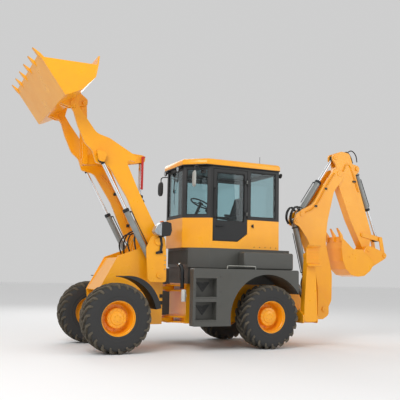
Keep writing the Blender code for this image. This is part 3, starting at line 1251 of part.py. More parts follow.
# ---------------------------------------------------------------- the whole machine
def build():
    """Build every piece of the machine."""
    rear = make_rear_frame()
    make_engine(rear)
    make_axle("rear_axle", REAR_X, rear)
    make_deck(rear)
    for side in (1, -1):
        make_fender(side, rear)
    make_cab_base(rear)
    cab = make_cab_frame(rear)
    make_roof(rear)
    make_seat(rear)
    make_steering(rear)
    front = make_front_frame()
    front.parent = rear
    make_axle("front_axle", FRONT_X, front)
    for side, label in ((1, "left"), (-1, "right")):
        make_door(side, cab)
        make_mudguard(side, front)
        make_wheel("front_" + label, FRONT_X, side, front)
        make_wheel("rear_" + label, REAR_X, side, rear)
        make_stabiliser(side, rear)
    arms = make_loader_arms(front)
    make_lift_cylinders(front)
    make_bell_crank(arms)
    make_tilt_cylinder(front)
    bucket = make_loader_bucket(arms)
    make_tilt_link(bucket)
    post = make_swing_post(rear)
    boom = make_boom(post)
    stick = make_stick(boom)
    hoe = make_hoe_bucket(stick)
    make_rocker(stick)
    make_hoe_link(hoe)
    make_hoe_cylinders(boom, stick)
    rear.location.x = -MIDDLE_X


clear_scene()
MACHINE = bpy.data.collections.new("backhoe_loader")
bpy.context.scene.collection.children.link(MACHINE)
build()
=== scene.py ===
"""Looks of a backhoe loader: finishes, glass, tyres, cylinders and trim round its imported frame."""

import json
import logging
import math
from dataclasses import dataclass, field
from enum import Enum

import bmesh
import bpy
from mathutils import Matrix, Vector

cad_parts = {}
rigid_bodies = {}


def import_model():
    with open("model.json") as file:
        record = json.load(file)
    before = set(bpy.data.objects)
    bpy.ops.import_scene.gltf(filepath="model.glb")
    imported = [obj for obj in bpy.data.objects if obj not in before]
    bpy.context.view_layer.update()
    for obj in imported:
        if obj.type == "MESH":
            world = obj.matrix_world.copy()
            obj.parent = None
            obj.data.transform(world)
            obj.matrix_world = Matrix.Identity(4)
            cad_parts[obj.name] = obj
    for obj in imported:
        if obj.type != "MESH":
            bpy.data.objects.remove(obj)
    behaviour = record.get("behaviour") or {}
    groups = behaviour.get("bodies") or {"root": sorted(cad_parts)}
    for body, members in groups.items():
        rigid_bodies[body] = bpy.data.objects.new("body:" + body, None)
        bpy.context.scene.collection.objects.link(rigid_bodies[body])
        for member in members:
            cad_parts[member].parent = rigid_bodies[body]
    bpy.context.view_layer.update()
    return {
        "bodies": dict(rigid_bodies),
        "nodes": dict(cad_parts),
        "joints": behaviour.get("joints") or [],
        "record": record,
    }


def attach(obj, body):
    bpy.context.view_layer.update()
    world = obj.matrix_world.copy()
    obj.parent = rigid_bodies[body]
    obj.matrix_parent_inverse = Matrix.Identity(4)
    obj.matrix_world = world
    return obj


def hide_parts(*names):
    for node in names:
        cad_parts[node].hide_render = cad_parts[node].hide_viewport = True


LOG = logging.getLogger("backhoe_loader")
SHIFT = 0.8499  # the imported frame's origin lies this far behind the machine's own middle
Triple = tuple[float, float, float]
Pair = tuple[float, float]


# ---------------------------------------------------------------- finishes
def linear(code: str, alpha: float = 1.0) -> tuple[float, float, float, float]:
    """Turn an sRGB hex colour into linear values.

    Args:
        code: The colour as six hex digits.
        alpha: The fourth value.

    Returns:
        Red, green, blue and alpha.
    """
    values = []
    for place in (0, 2, 4):
        part = int(code[place:place + 2], 16) / 255
        values.append(part / 12.92 if part <= 0.04045 else ((part + 0.055) / 1.055) ** 2.4)
    return (values[0], values[1], values[2], alpha)


def add_node(tree: bpy.types.NodeTree, kind: str, settings: dict | None = None,
             values: dict | None = None, links: dict | None = None) -> bpy.types.Node:
    """Add a node with its settings, its socket values and what feeds it.

    Args:
        tree: The tree that gets the node.
        kind: The node's type name.
        settings: Attributes to set on the node.
        values: Socket values by name or number.
        links: Output sockets that feed its inputs, by name or number.

    Returns:
        The node.
    """
    made = tree.nodes.new(kind)
    for name, value in (settings or {}).items():
        setattr(made, name, value)
    for name, value in (values or {}).items():
        made.inputs[name].default_value = value
    for name, source in (links or {}).items():
        tree.links.new(source, made.inputs[name])
    return made


class Pattern(Enum):
    """What a surface's fine relief looks like."""

    PEEL = "sprayed enamel"
    GRAIN = "moulded grain"
    CAST = "rough casting"
    DRAWN = "drawn or ground metal"
    WEAVE = "woven cover"


@dataclass(frozen=True)
class Finish:
    """One real finish, with what it is made of and how its surface was made."""

    name: str
    slot: str
    colour: str
    variant: str
    roughness: Pair = (0.4, 0.5)
    metallic: float = 0.0
    coat: float = 0.0
    ior: float = 1.5
    pattern: Pattern = Pattern.PEEL
    grain_mm: float = 2.0
    relief: float = 0.05
    blotch_mm: float = 350.0
    edge_colour: str = ""
    edge_mm: float = 5.0
    dust_colour: str = ""
    dust: float = 0.0
    transmission: float = 0.0

    def build(self) -> bpy.types.Material:
        """Make the material, or return it if it is there.

        Returns:
            The material.
        """
        found = bpy.data.materials.get(self.name)
        if found:
            return found
        made = bpy.data.materials.new(self.name)
        made.use_nodes = True
        tree = made.node_tree
        shader = tree.nodes["Principled BSDF"]
        shader.inputs["Metallic"].default_value = self.metallic
        shader.inputs["IOR"].default_value = self.ior
        shader.inputs["Coat Weight"].default_value = self.coat
        shader.inputs["Coat Roughness"].default_value = 0.12
        shader.inputs["Transmission Weight"].default_value = self.transmission
        if self.transmission:
            shader.inputs["Base Color"].default_value = linear(self.colour)
            shader.inputs["Roughness"].default_value = self.roughness[0]
            return made
        place = add_node(tree, "ShaderNodeTexCoord").outputs["Object"]
        blotch = add_node(tree, "ShaderNodeTexNoise", values={
            "Scale": 1000 / self.blotch_mm, "Detail": 5.0, "Roughness": 0.6}, links={"Vector": place})
        tone = add_node(tree, "ShaderNodeMapRange", values={1: 0.35, 2: 0.68},
                        links={0: blotch.outputs[0]}).outputs[0]
        colour = add_node(tree, "ShaderNodeMix", settings={"data_type": "RGBA"},
                          values={6: linear(self.colour), 7: linear(self.variant)},
                          links={0: tone}).outputs[2]
        rounded = add_node(tree, "ShaderNodeBevel", settings={"samples": 4},
                           values={"Radius": self.edge_mm / 1000})
        if self.dust:
            colour = self._add_dust(tree, colour, blotch.outputs[0])
        if self.edge_colour:
            colour = self._add_edge_wear(tree, colour, rounded.outputs[0], place)
        tree.links.new(colour, shader.inputs["Base Color"])
        low, high = self.roughness
        rough = add_node(tree, "ShaderNodeMapRange", values={1: 0.3, 2: 0.7, 3: low, 4: high},
                         links={0: blotch.outputs[0]})
        tree.links.new(rough.outputs[0], shader.inputs["Roughness"])
        bump = add_node(tree, "ShaderNodeBump", values={"Strength": self.relief, "Distance": 0.002},
                        links={"Height": self._relief(tree, place), "Normal": rounded.outputs[0]})
        tree.links.new(bump.outputs[0], shader.inputs["Normal"])
        return made

    def _add_dust(self, tree: bpy.types.NodeTree, colour: bpy.types.NodeSocket,
                  blotch: bpy.types.NodeSocket) -> bpy.types.NodeSocket:
        """Lay dust on what faces up, in patches.

        Args:
            tree: The material's tree.
            colour: The clean colour.
            blotch: Noise that breaks the dust up.

        Returns:
            The dusty colour's socket.
        """
        facing = add_node(tree, "ShaderNodeSeparateXYZ", links={
            0: add_node(tree, "ShaderNodeNewGeometry").outputs["Normal"]}).outputs[2]
        upward = add_node(tree, "ShaderNodeMapRange", values={1: -0.4, 2: 1.0, 3: 0.25},
                          links={0: facing}).outputs[0]
        patch = add_node(tree, "ShaderNodeMath", settings={"operation": "MULTIPLY"},
                         links={0: upward, 1: blotch}).outputs[0]
        share = add_node(tree, "ShaderNodeMath", settings={"operation": "MULTIPLY"},
                         values={1: self.dust * 2}, links={0: patch}).outputs[0]
        return add_node(tree, "ShaderNodeMix", settings={"data_type": "RGBA"},
                        values={7: linear(self.dust_colour)},
                        links={0: share, 6: colour}).outputs[2]

    def _add_edge_wear(self, tree: bpy.types.NodeTree, colour: bpy.types.NodeSocket,
                       rounded: bpy.types.NodeSocket,
                       place: bpy.types.NodeSocket) -> bpy.types.NodeSocket:
        """Rub the finish off sharp edges, in spots.

        Args:
            tree: The material's tree.
            colour: The unworn colour.
            rounded: The normal with its edges rounded.
            place: Where the point lies on the piece.

        Returns:
            The worn colour's socket.
        """
        flat = add_node(tree, "ShaderNodeNewGeometry").outputs["Normal"]
        agree = add_node(tree, "ShaderNodeVectorMath", settings={"operation": "DOT_PRODUCT"},
                         links={0: flat, 1: rounded}).outputs["Value"]
        edge = add_node(tree, "ShaderNodeMapRange", values={1: 0.985, 2: 0.86},
                        links={0: agree}).outputs[0]
        spots = add_node(tree, "ShaderNodeTexNoise", values={"Scale": 45.0, "Detail": 3.0},
                         links={"Vector": place}).outputs[0]
        worn = add_node(tree, "ShaderNodeMapRange", values={1: 0.50, 2: 0.64},
                        links={0: spots}).outputs[0]
        share = add_node(tree, "ShaderNodeMath", settings={"operation": "MULTIPLY"},
                         links={0: edge, 1: worn}).outputs[0]
        return add_node(tree, "ShaderNodeMix", settings={"data_type": "RGBA"},
                        values={7: linear(self.edge_colour)},
                        links={0: share, 6: colour}).outputs[2]

    def _relief(self, tree: bpy.types.NodeTree,
                place: bpy.types.NodeSocket) -> bpy.types.NodeSocket:
        """Make the height of the fine relief.

        Args:
            tree: The material's tree.
            place: Where the point lies on the piece.

        Returns:
            The height's socket.
        """
        scale = 1000 / self.grain_mm
        if self.pattern is Pattern.WEAVE:
            bands = [add_node(tree, "ShaderNodeTexWave", settings={"bands_direction": way},
                              values={"Scale": scale / 3.2}, links={"Vector": place}).outputs[1]
                     for way in ("X", "DIAGONAL")]
            return add_node(tree, "ShaderNodeMath", settings={"operation": "MULTIPLY"},
                            links={0: bands[0], 1: bands[1]}).outputs[0]
        if self.pattern is Pattern.GRAIN:
            return add_node(tree, "ShaderNodeTexVoronoi", values={"Scale": scale},
                            links={"Vector": place}).outputs[0]
        if self.pattern is Pattern.DRAWN:
            place = add_node(tree, "ShaderNodeMapping", values={"Scale": (1.0, 1.0, 0.12)},
                             links={"Vector": place}).outputs[0]
        detail = 8.0 if self.pattern is Pattern.CAST else 2.0
        return add_node(tree, "ShaderNodeTexNoise", values={"Scale": scale, "Detail": detail},
                        links={"Vector": place}).outputs[0]


# Sprayed two-pack machinery enamel: even, fairly glossy, a little orange peel, thin on its edges.
YELLOW = Finish("machinery_yellow_enamel", "yellow_paint", "FFAE00", "FBA600", (0.26, 0.38),
                coat=0.35, grain_mm=6, relief=0.06, edge_colour="C98A1C", dust_colour="BFA36A",
                dust=0.10)
# Charcoal chassis enamel over rolled plate: satin, dusty where it faces up.
CHARCOAL = Finish("charcoal_chassis_enamel", "grey_paint", "4B4C49", "434441", (0.40, 0.55),
                  grain_mm=5, relief=0.10, edge_colour="74736C", dust_colour="8A8478", dust=0.16)
# Black powder coat on the cab's steel sections.
BLACK = Finish("black_powder_coat", "black_paint", "191A1B", "202122", (0.34, 0.46),
               grain_mm=3, relief=0.08, edge_colour="3A3A3A", dust_colour="5A564E", dust=0.05)
# Filled natural rubber, moulded: dull, with pale dust on it.
TYRE = Finish("tyre_rubber", "tyre_rubber", "303030", "3A3937", (0.78, 0.92), pattern=Pattern.CAST,
              grain_mm=5, relief=0.18, dust_colour="7D7566", dust=0.22, edge_mm=4)
# The tread bars have dry mud rubbed into them.
TREAD = Finish("muddy_tread_rubber", "tyre_rubber", "39362F", "564F43", (0.85, 0.95),
               pattern=Pattern.CAST, grain_mm=8, relief=0.35, blotch_mm=70,
               edge_colour="7C7263", edge_mm=7, dust_colour="857A69", dust=0.35)
# Hard chrome on a ground rod: a near mirror.
CHROME = Finish("hard_chrome_rod", "rod_chrome", "E4E6E8", "D6D9DC", (0.08, 0.14), metallic=1.0,
                pattern=Pattern.DRAWN, grain_mm=1.5, relief=0.02, edge_mm=1)
# Light grey enamel on a honed cylinder tube.
BARREL = Finish("grey_cylinder_enamel", "barrel_steel", "8E918F", "7F8280", (0.30, 0.42), coat=0.15,
                metallic=0.25, grain_mm=4, relief=0.05, edge_colour="B9BCBB", edge_mm=3)
# Phosphated cylinder glands and eyes.
GLAND = Finish("black_phosphate_steel", "barrel_steel", "2B2D2E", "353738", (0.42, 0.55),
               metallic=0.6, grain_mm=2, relief=0.06, edge_mm=2)
# Zinc-plated fasteners.
ZINC = Finish("zinc_plated_steel", "barrel_steel", "B9BAB4", "A3A49C", (0.28, 0.42), metallic=1.0,
              grain_mm=1.5, relief=0.05, edge_mm=1)
# Green tinted safety glass, 5 mm.
GLASS = Finish("tinted_safety_glass", "cab_plastic", "BFD8DC", "BFD8DC", (0.0, 0.0), ior=1.45,
               transmission=1.0)
# Lamp lenses of ribbed polycarbonate before a silvered bowl.
LENS = Finish("clear_lamp_lens", "cab_plastic", "B4BBBF", "8F979C", (0.05, 0.10), coat=0.6,
              metallic=0.35, pattern=Pattern.GRAIN, grain_mm=14, relief=0.50, blotch_mm=60,
              edge_mm=4)
# Turn lamps of amber polycarbonate.
AMBER = Finish("amber_lamp_lens", "cab_plastic", "E06A05", "D55F00", (0.08, 0.14), coat=0.5,
               pattern=Pattern.GRAIN, grain_mm=6, relief=0.25, edge_mm=2)
# Red enamel of the safety strut and the reflectors.
RED = Finish("red_enamel", "cab_plastic", "C4231B", "B51F18", (0.28, 0.40), coat=0.3,
             relief=0.05, edge_mm=2)
# Silvered glass of the mirrors.
MIRROR = Finish("silvered_mirror_glass", "rod_chrome", "C9CFD2", "BFC6CA", (0.03, 0.06),
                metallic=1.0, relief=0.0, edge_mm=1)
# The near mirror's shell is moulded in pale grey ABS.
PALE = Finish("grained_grey_plastic", "cab_plastic", "A9ABA6", "9A9C97", (0.40, 0.52),
              pattern=Pattern.GRAIN, grain_mm=2, relief=0.10, edge_mm=4)
# Moulded black ABS with a fine grain.
PLASTIC = Finish("grained_black_plastic", "cab_plastic", "1D1E1F", "242526", (0.50, 0.62),
                 pattern=Pattern.GRAIN, grain_mm=2, relief=0.12, edge_mm=3)
# Black synthetic rubber: hose covers, window seals, wiper blade.
RUBBER = Finish("hose_rubber", "cab_plastic", "161616", "1E1E1E", (0.45, 0.58),
                pattern=Pattern.DRAWN, grain_mm=3, relief=0.10, edge_mm=1)
# Woven polyester seat cover.
CLOTH = Finish("woven_seat_cover", "seat_cloth", "26282B", "303236", (0.85, 0.95),
               pattern=Pattern.WEAVE, grain_mm=4, relief=0.30, edge_mm=1)
# Painted cast iron of axles and engine.
IRON = Finish("painted_cast_iron", "engine_iron", "3A3B39", "444541", (0.50, 0.68),
              pattern=Pattern.CAST, grain_mm=7, relief=0.30, dust_colour="857C6B", dust=0.18)
# White enamel of the filter and the tank cap.
WHITE = Finish("white_enamel", "barrel_steel", "D5D6D2", "CACBC6", (0.30, 0.42), coat=0.2,
               grain_mm=5, relief=0.05, edge_mm=2)


# ---------------------------------------------------------------- shaping
class Plane(Enum):
    """The plane that an outline is drawn in."""

    XZ = "side"
    XY = "plan"
    YZ = "front"


def smooth_route(points: list[Triple], per: int = 6) -> list[Vector]:
    """Thread a smooth curve through points.

    Args:
        points: The points on the way.
        per: Steps between two points.

    Returns:
        The curve's points.
    """
    known = [Vector(p) for p in points]
    known = [known[0] * 2 - known[1], *known, known[-1] * 2 - known[-2]]
    route = []
    for a, b, c, d in zip(known, known[1:], known[2:], known[3:]):
        for step in range(per):
            t = step / per
            route.append(0.5 * (2 * b + (c - a) * t + (2 * a - 5 * b + 4 * c - d) * t ** 2
                                + (3 * b - a - 3 * c + d) * t ** 3))
    return [*route, known[-2]]


class Shape:
    def __init__(self) -> None:
        """Start empty."""
        self.bm = bmesh.new()

    def ring(self, points: list[Vector]) -> list[bmesh.types.BMVert]:
        """Add a vertex at each point."""
        return [self.bm.verts.new(p) for p in points]

    def bridge(self, first: list, second: list) -> None:
        """Join two rings of as many vertices, or a ring and a single pole.

        Args:
            first: The first ring.
            second: The second ring.
        """
        count = max(len(first), len(second))
        if count == 1:
            return
        for i in range(count):
            j = (i + 1) % count
            corners = [first[i % len(first)], first[j % len(first)],
                       second[j % len(second)], second[i % len(second)]]
            unique = list(dict.fromkeys(corners))
            if len(unique) > 2:
                self.bm.faces.new(unique)

    def loft(self, rings: list[list[bmesh.types.BMVert]]) -> None:
        """Join rings in order and close both ends.

        Args:
            rings: The rings, in order.
        """
        for first, second in zip(rings, rings[1:]):
            self.bridge(first, second)
        self.bm.faces.new(rings[0])
        self.bm.faces.new(rings[-1])

    def box(self, low: Triple, high: Triple) -> "Shape":
        """Add a box between two corners."""
        outline = [(low[0], low[2]), (high[0], low[2]), (high[0], high[2]), (low[0], high[2])]
        return self.prism(outline, low[1], high[1])

    def prism(self, outline: list[Pair], low: float, high: float,
              plane: Plane = Plane.XZ) -> "Shape":
        """Add an outline drawn in a plane and pushed from low to high across it.

        Args:
            outline: Its corners in that plane.
            low: Where it starts across the plane.
            high: Where it ends across the plane.
            plane: The plane it is drawn in.

        Returns:
            The shape, or itself, so that calls can be chained.
        """
        put = {Plane.XZ: lambda a, b, c: Vector((a, c, b)),
               Plane.XY: lambda a, b, c: Vector((a, b, c)),
               Plane.YZ: lambda a, b, c: Vector((c, a, b))}[plane]
        near = self.ring([put(a, b, low) for a, b in outline])
        far = self.ring([put(a, b, high) for a, b in outline])
        self.loft([near, far])
        return self

    def panel(self, corners: list[Triple], thick: float) -> "Shape":
        """Add a flat panel with these corners on one face and its thickness along the normal.

        Args:
            corners: The corners, in order.
            thick: Its thickness; negative for the other side.

        Returns:
            The shape, or itself, so that calls can be chained.
        """
        points = [Vector(c) for c in corners]
        normal = (points[1] - points[0]).cross(points[2] - points[0]).normalized() * thick
        near = self.ring(points)
        far = self.ring([p + normal for p in points])
        self.loft([near, far])
        return self

    def turned(self, profile: list[Pair], start: Triple, axis: Triple, sides: int = 40,
               closed: bool = False) -> "Shape":
        """Turn (radius, distance along) pairs about an axis; closed joins the last to the first.

        Args:
            profile: Radius and distance along the axis, in order.
            start: Where it starts.
            axis: Its direction.
            sides: How many flats go round it.
            closed: True for a section that closes on itself.

        Returns:
            The shape, or itself, so that calls can be chained.
        """
        ahead = Vector(axis).normalized()
        side = ahead.orthogonal().normalized()
        other = ahead.cross(side)
        origin = Vector(start)
        rings = []
        for radius, along in profile:
            centre = origin + ahead * along
            if radius < 1e-6:
                rings.append(self.ring([centre]))
                continue
            rings.append(self.ring([
                centre + (side * math.cos(t) + other * math.sin(t)) * radius
                for t in (2 * math.pi * i / sides for i in range(sides))]))
        pairs = list(zip(rings, rings[1:]))
        if closed:
            pairs.append((rings[-1], rings[0]))
        for first, second in pairs:
            self.bridge(first, second)
        return self

    def rod(self, start: Triple, end: Triple, radius: float, sides: int = 24,
            chamfer: float = 0.002) -> "Shape":
        """Add a round bar with chamfered ends.

        Args:
            start: Where it starts.
            end: Where it ends.
            radius: Its radius.
            sides: How many flats go round it.
            chamfer: Width of the chamfer at each end.

        Returns:
            The shape, or itself, so that calls can be chained.
        """
        axis = Vector(end) - Vector(start)
        long = axis.length
        edge = min(chamfer, radius * 0.4, long * 0.3)
        return self.turned([(0, 0), (radius - edge, 0), (radius, edge), (radius, long - edge),
                            (radius - edge, long), (0, long)], start, tuple(axis), sides)

    def tube(self, points: list[Triple], radius: float, sides: int = 10,
             smooth: bool = True) -> "Shape":
        """Add a bent round bar or hose along a route.

        Args:
            points: The points, in order.
            radius: Its radius.
            sides: How many flats go round it.
            smooth: False for straight stretches.

        Returns:
            The shape, or itself, so that calls can be chained.
        """
        route = smooth_route(points) if smooth else [Vector(p) for p in points]
        ahead = (route[1] - route[0]).normalized()
        side = ahead.orthogonal().normalized()
        rings = []
        for i, point in enumerate(route):
            after = route[min(i + 1, len(route) - 1)]
            before = route[max(i - 1, 0)]
            ahead = (after - before).normalized()
            side = (side - ahead * side.dot(ahead)).normalized()
            other = ahead.cross(side)
            rings.append(self.ring([
                point + (side * math.cos(t) + other * math.sin(t)) * radius
                for t in (2 * math.pi * k / sides for k in range(sides))]))
        self.loft(rings)
        return self

    def mesh(self, name: str, finish: Finish, soften: float = 35.0) -> bpy.types.Object:
        """Make the object at the origin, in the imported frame.

        Args:
            name: The piece's name.
            finish: What it is finished with.
            soften: Edges that turn less than this, in degrees, are smooth.

        Returns:
            The object.
        """
        bmesh.ops.translate(self.bm, vec=(SHIFT, 0, 0), verts=self.bm.verts)
        bmesh.ops.recalc_face_normals(self.bm, faces=self.bm.faces)
        data = bpy.data.meshes.new(name)
        self.bm.to_mesh(data)
        self.bm.free()
        data.shade_smooth()
        data.set_sharp_from_angle(angle=math.radians(soften))
        made = bpy.data.objects.new(name, data)
        data.materials.append(finish.build())
        bpy.context.scene.collection.objects.link(made)
        return made

    def finish(self, name: str, finish: Finish, body: str, replaces: tuple[str, ...] = (),
               bevel_mm: float = 0.0, soften: float = 35.0) -> bpy.types.Object:
        """Make the piece, put it on its body and report it.

        Args:
            name: The piece's name.
            finish: What it is finished with.
            body: The body it moves with.
            replaces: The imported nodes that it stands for.
            bevel_mm: Width of its rounded edges, if they are modelled.
            soften: Edges that turn less than this, in degrees, are smooth.

        Returns:
            The object.
        """
        made = self.mesh(name, finish, soften)
        if bevel_mm:
            rounding = made.modifiers.new("rounded_edges", "BEVEL")
            rounding.width = bevel_mm / 1000
            rounding.segments = 2
            rounding.limit_method = "ANGLE"
            rounding.angle_limit = math.radians(40)
        return settle(made, body, replaces)


def settle(made: bpy.types.Object, body: str,
           replaces: tuple[str, ...] = ()) -> bpy.types.Object:
    """Put a finished piece on its body and report it.

    Args:
        made: The piece.
        body: The body it moves with.
        replaces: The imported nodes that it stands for.

    Returns:
        The same object.
    """
    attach(made, body)
    if replaces:
        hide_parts(*replaces)
    LOG.info("%s rides on %s, %d faces", made.name, body, len(made.data.polygons))
    return made


class Array:
    """A Geometry Nodes tree that repeats an item along a line or round an axis across the machine."""

    def __init__(self) -> None:
        """Build the tree with named inputs."""
        self.tree = bpy.data.node_groups.new("repeat_item", "GeometryNodeTree")
        face = self.tree.interface
        for name, kind in (("Item", "NodeSocketObject"), ("Count", "NodeSocketInt"),
                           ("Start", "NodeSocketVector"), ("Step", "NodeSocketVector"),
                           ("Turn", "NodeSocketVector"), ("Finish", "NodeSocketMaterial")):
            face.new_socket(name, in_out="INPUT", socket_type=kind)
        face.new_socket("Geometry", in_out="OUTPUT", socket_type="NodeSocketGeometry")
        given = add_node(self.tree, "NodeGroupInput").outputs
        line = add_node(self.tree, "GeometryNodeMeshLine", links={
            "Count": given["Count"], "Start Location": given["Start"], "Offset": given["Step"]})
        item = add_node(self.tree, "GeometryNodeObjectInfo", links={"Object": given["Item"]})
        index = add_node(self.tree, "GeometryNodeInputIndex").outputs[0]
        angles = add_node(self.tree, "ShaderNodeVectorMath", settings={"operation": "SCALE"},
                          links={0: given["Turn"], "Scale": index}).outputs[0]
        turned = add_node(self.tree, "FunctionNodeEulerToRotation", links={0: angles}).outputs[0]
        placed = add_node(self.tree, "GeometryNodeInstanceOnPoints", links={
            "Points": line.outputs[0], "Instance": item.outputs["Geometry"], "Rotation": turned})
        real = add_node(self.tree, "GeometryNodeRealizeInstances", links={0: placed.outputs[0]})
        painted = add_node(self.tree, "GeometryNodeSetMaterial", links={
            "Geometry": real.outputs[0], "Material": given["Finish"]})
        add_node(self.tree, "NodeGroupOutput", links={0: painted.outputs[0]})

    def _sockets(self) -> dict[str, str]:
        """Return the inputs' identifiers by name."""
        return {s.name: s.identifier for s in self.tree.interface.items_tree
                if s.item_type == "SOCKET" and s.in_out == "INPUT"}

    def repeat(self, item: Shape, finish: Finish, count: int, start: Triple,
               step: Triple = (0, 0, 0), turn: Triple = (0, 0, 0)) -> bpy.types.Mesh:
        """Repeat an item, modelled at the origin, and return the plain mesh.

        Args:
            item: What is repeated.
            finish: What it is finished with.
            count: How many.
            start: Where the first stands, in the machine's own frame.
            step: From one to the next.
            turn: The turn from one to the next, in radians about each axis.

        Returns:
            The mesh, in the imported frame.
        """
        single = Shape()
        single.bm = item.bm.copy()
        bmesh.ops.translate(single.bm, vec=(-SHIFT, 0, 0), verts=single.bm.verts)
        source = single.mesh("item", finish)
        host = bpy.data.objects.new("host", bpy.data.meshes.new("host"))
        bpy.context.scene.collection.objects.link(host)
        live = host.modifiers.new("repeat", "NODES")
        live.node_group = self.tree
        names = self._sockets()
        live[names["Item"]] = source
        live[names["Count"]] = count
        live[names["Start"]] = (start[0] + SHIFT, start[1], start[2])
        live[names["Step"]] = step
        live[names["Turn"]] = turn
        live[names["Finish"]] = finish.build()
        graph = bpy.context.evaluated_depsgraph_get()
        graph.update()
        seen = host.evaluated_get(graph)
        plain = bpy.data.meshes.new_from_object(seen, depsgraph=graph)
        bpy.data.objects.remove(host)
        bpy.data.objects.remove(source)
        return plain

    def place(self, name: str, meshes: list[bpy.types.Mesh], finish: Finish,
              body: str) -> bpy.types.Object:
        """Join repeated meshes into one piece on a body.

        Args:
            name: The piece's name.
            meshes: Plain meshes from repeat().
            finish: What they are finished with.
            body: The body they move with.

        Returns:
            The piece.
        """
        joined = bmesh.new()
        for data in meshes:
            joined.from_mesh(data)
        data = bpy.data.meshes.new(name)
        joined.to_mesh(data)
        joined.free()
        data.shade_smooth()
        data.set_sharp_from_angle(angle=math.radians(35))
        data.materials.append(finish.build())
        made = bpy.data.objects.new(name, data)
        bpy.context.scene.collection.objects.link(made)
        return settle(made, body)


def bolt(size: float, axis: Triple = (0, 1, 0)) -> Shape:
    """Make a hexagon bolt head on its washer at the origin, facing along an axis.

    Args:
        size: Its size.
        axis: Its direction.

    Returns:
        The shape, or itself, so that calls can be chained.
    """
    item = Shape()
    item.turned([(0, 0), (size * 1.15, 0), (size * 1.15, size * 0.18), (0, size * 0.18)],
                (0, 0, 0), axis, 16)
    item.turned([(0, size * 0.16), (size * 0.86, size * 0.16), (size * 0.86, size * 0.70),
                 (size * 0.70, size * 0.82), (0, size * 0.82)], (0, 0, 0), axis, 6)
    return item


def rivet(size: float, axis: Triple = (0, 1, 0)) -> Shape:
    """Make a round rivet head at the origin, facing along an axis."""
    return Shape().turned([(0, 0), (size, 0), (size * 0.85, size * 0.35),
                           (size * 0.45, size * 0.58), (0, size * 0.62)], (0, 0, 0), axis, 12)


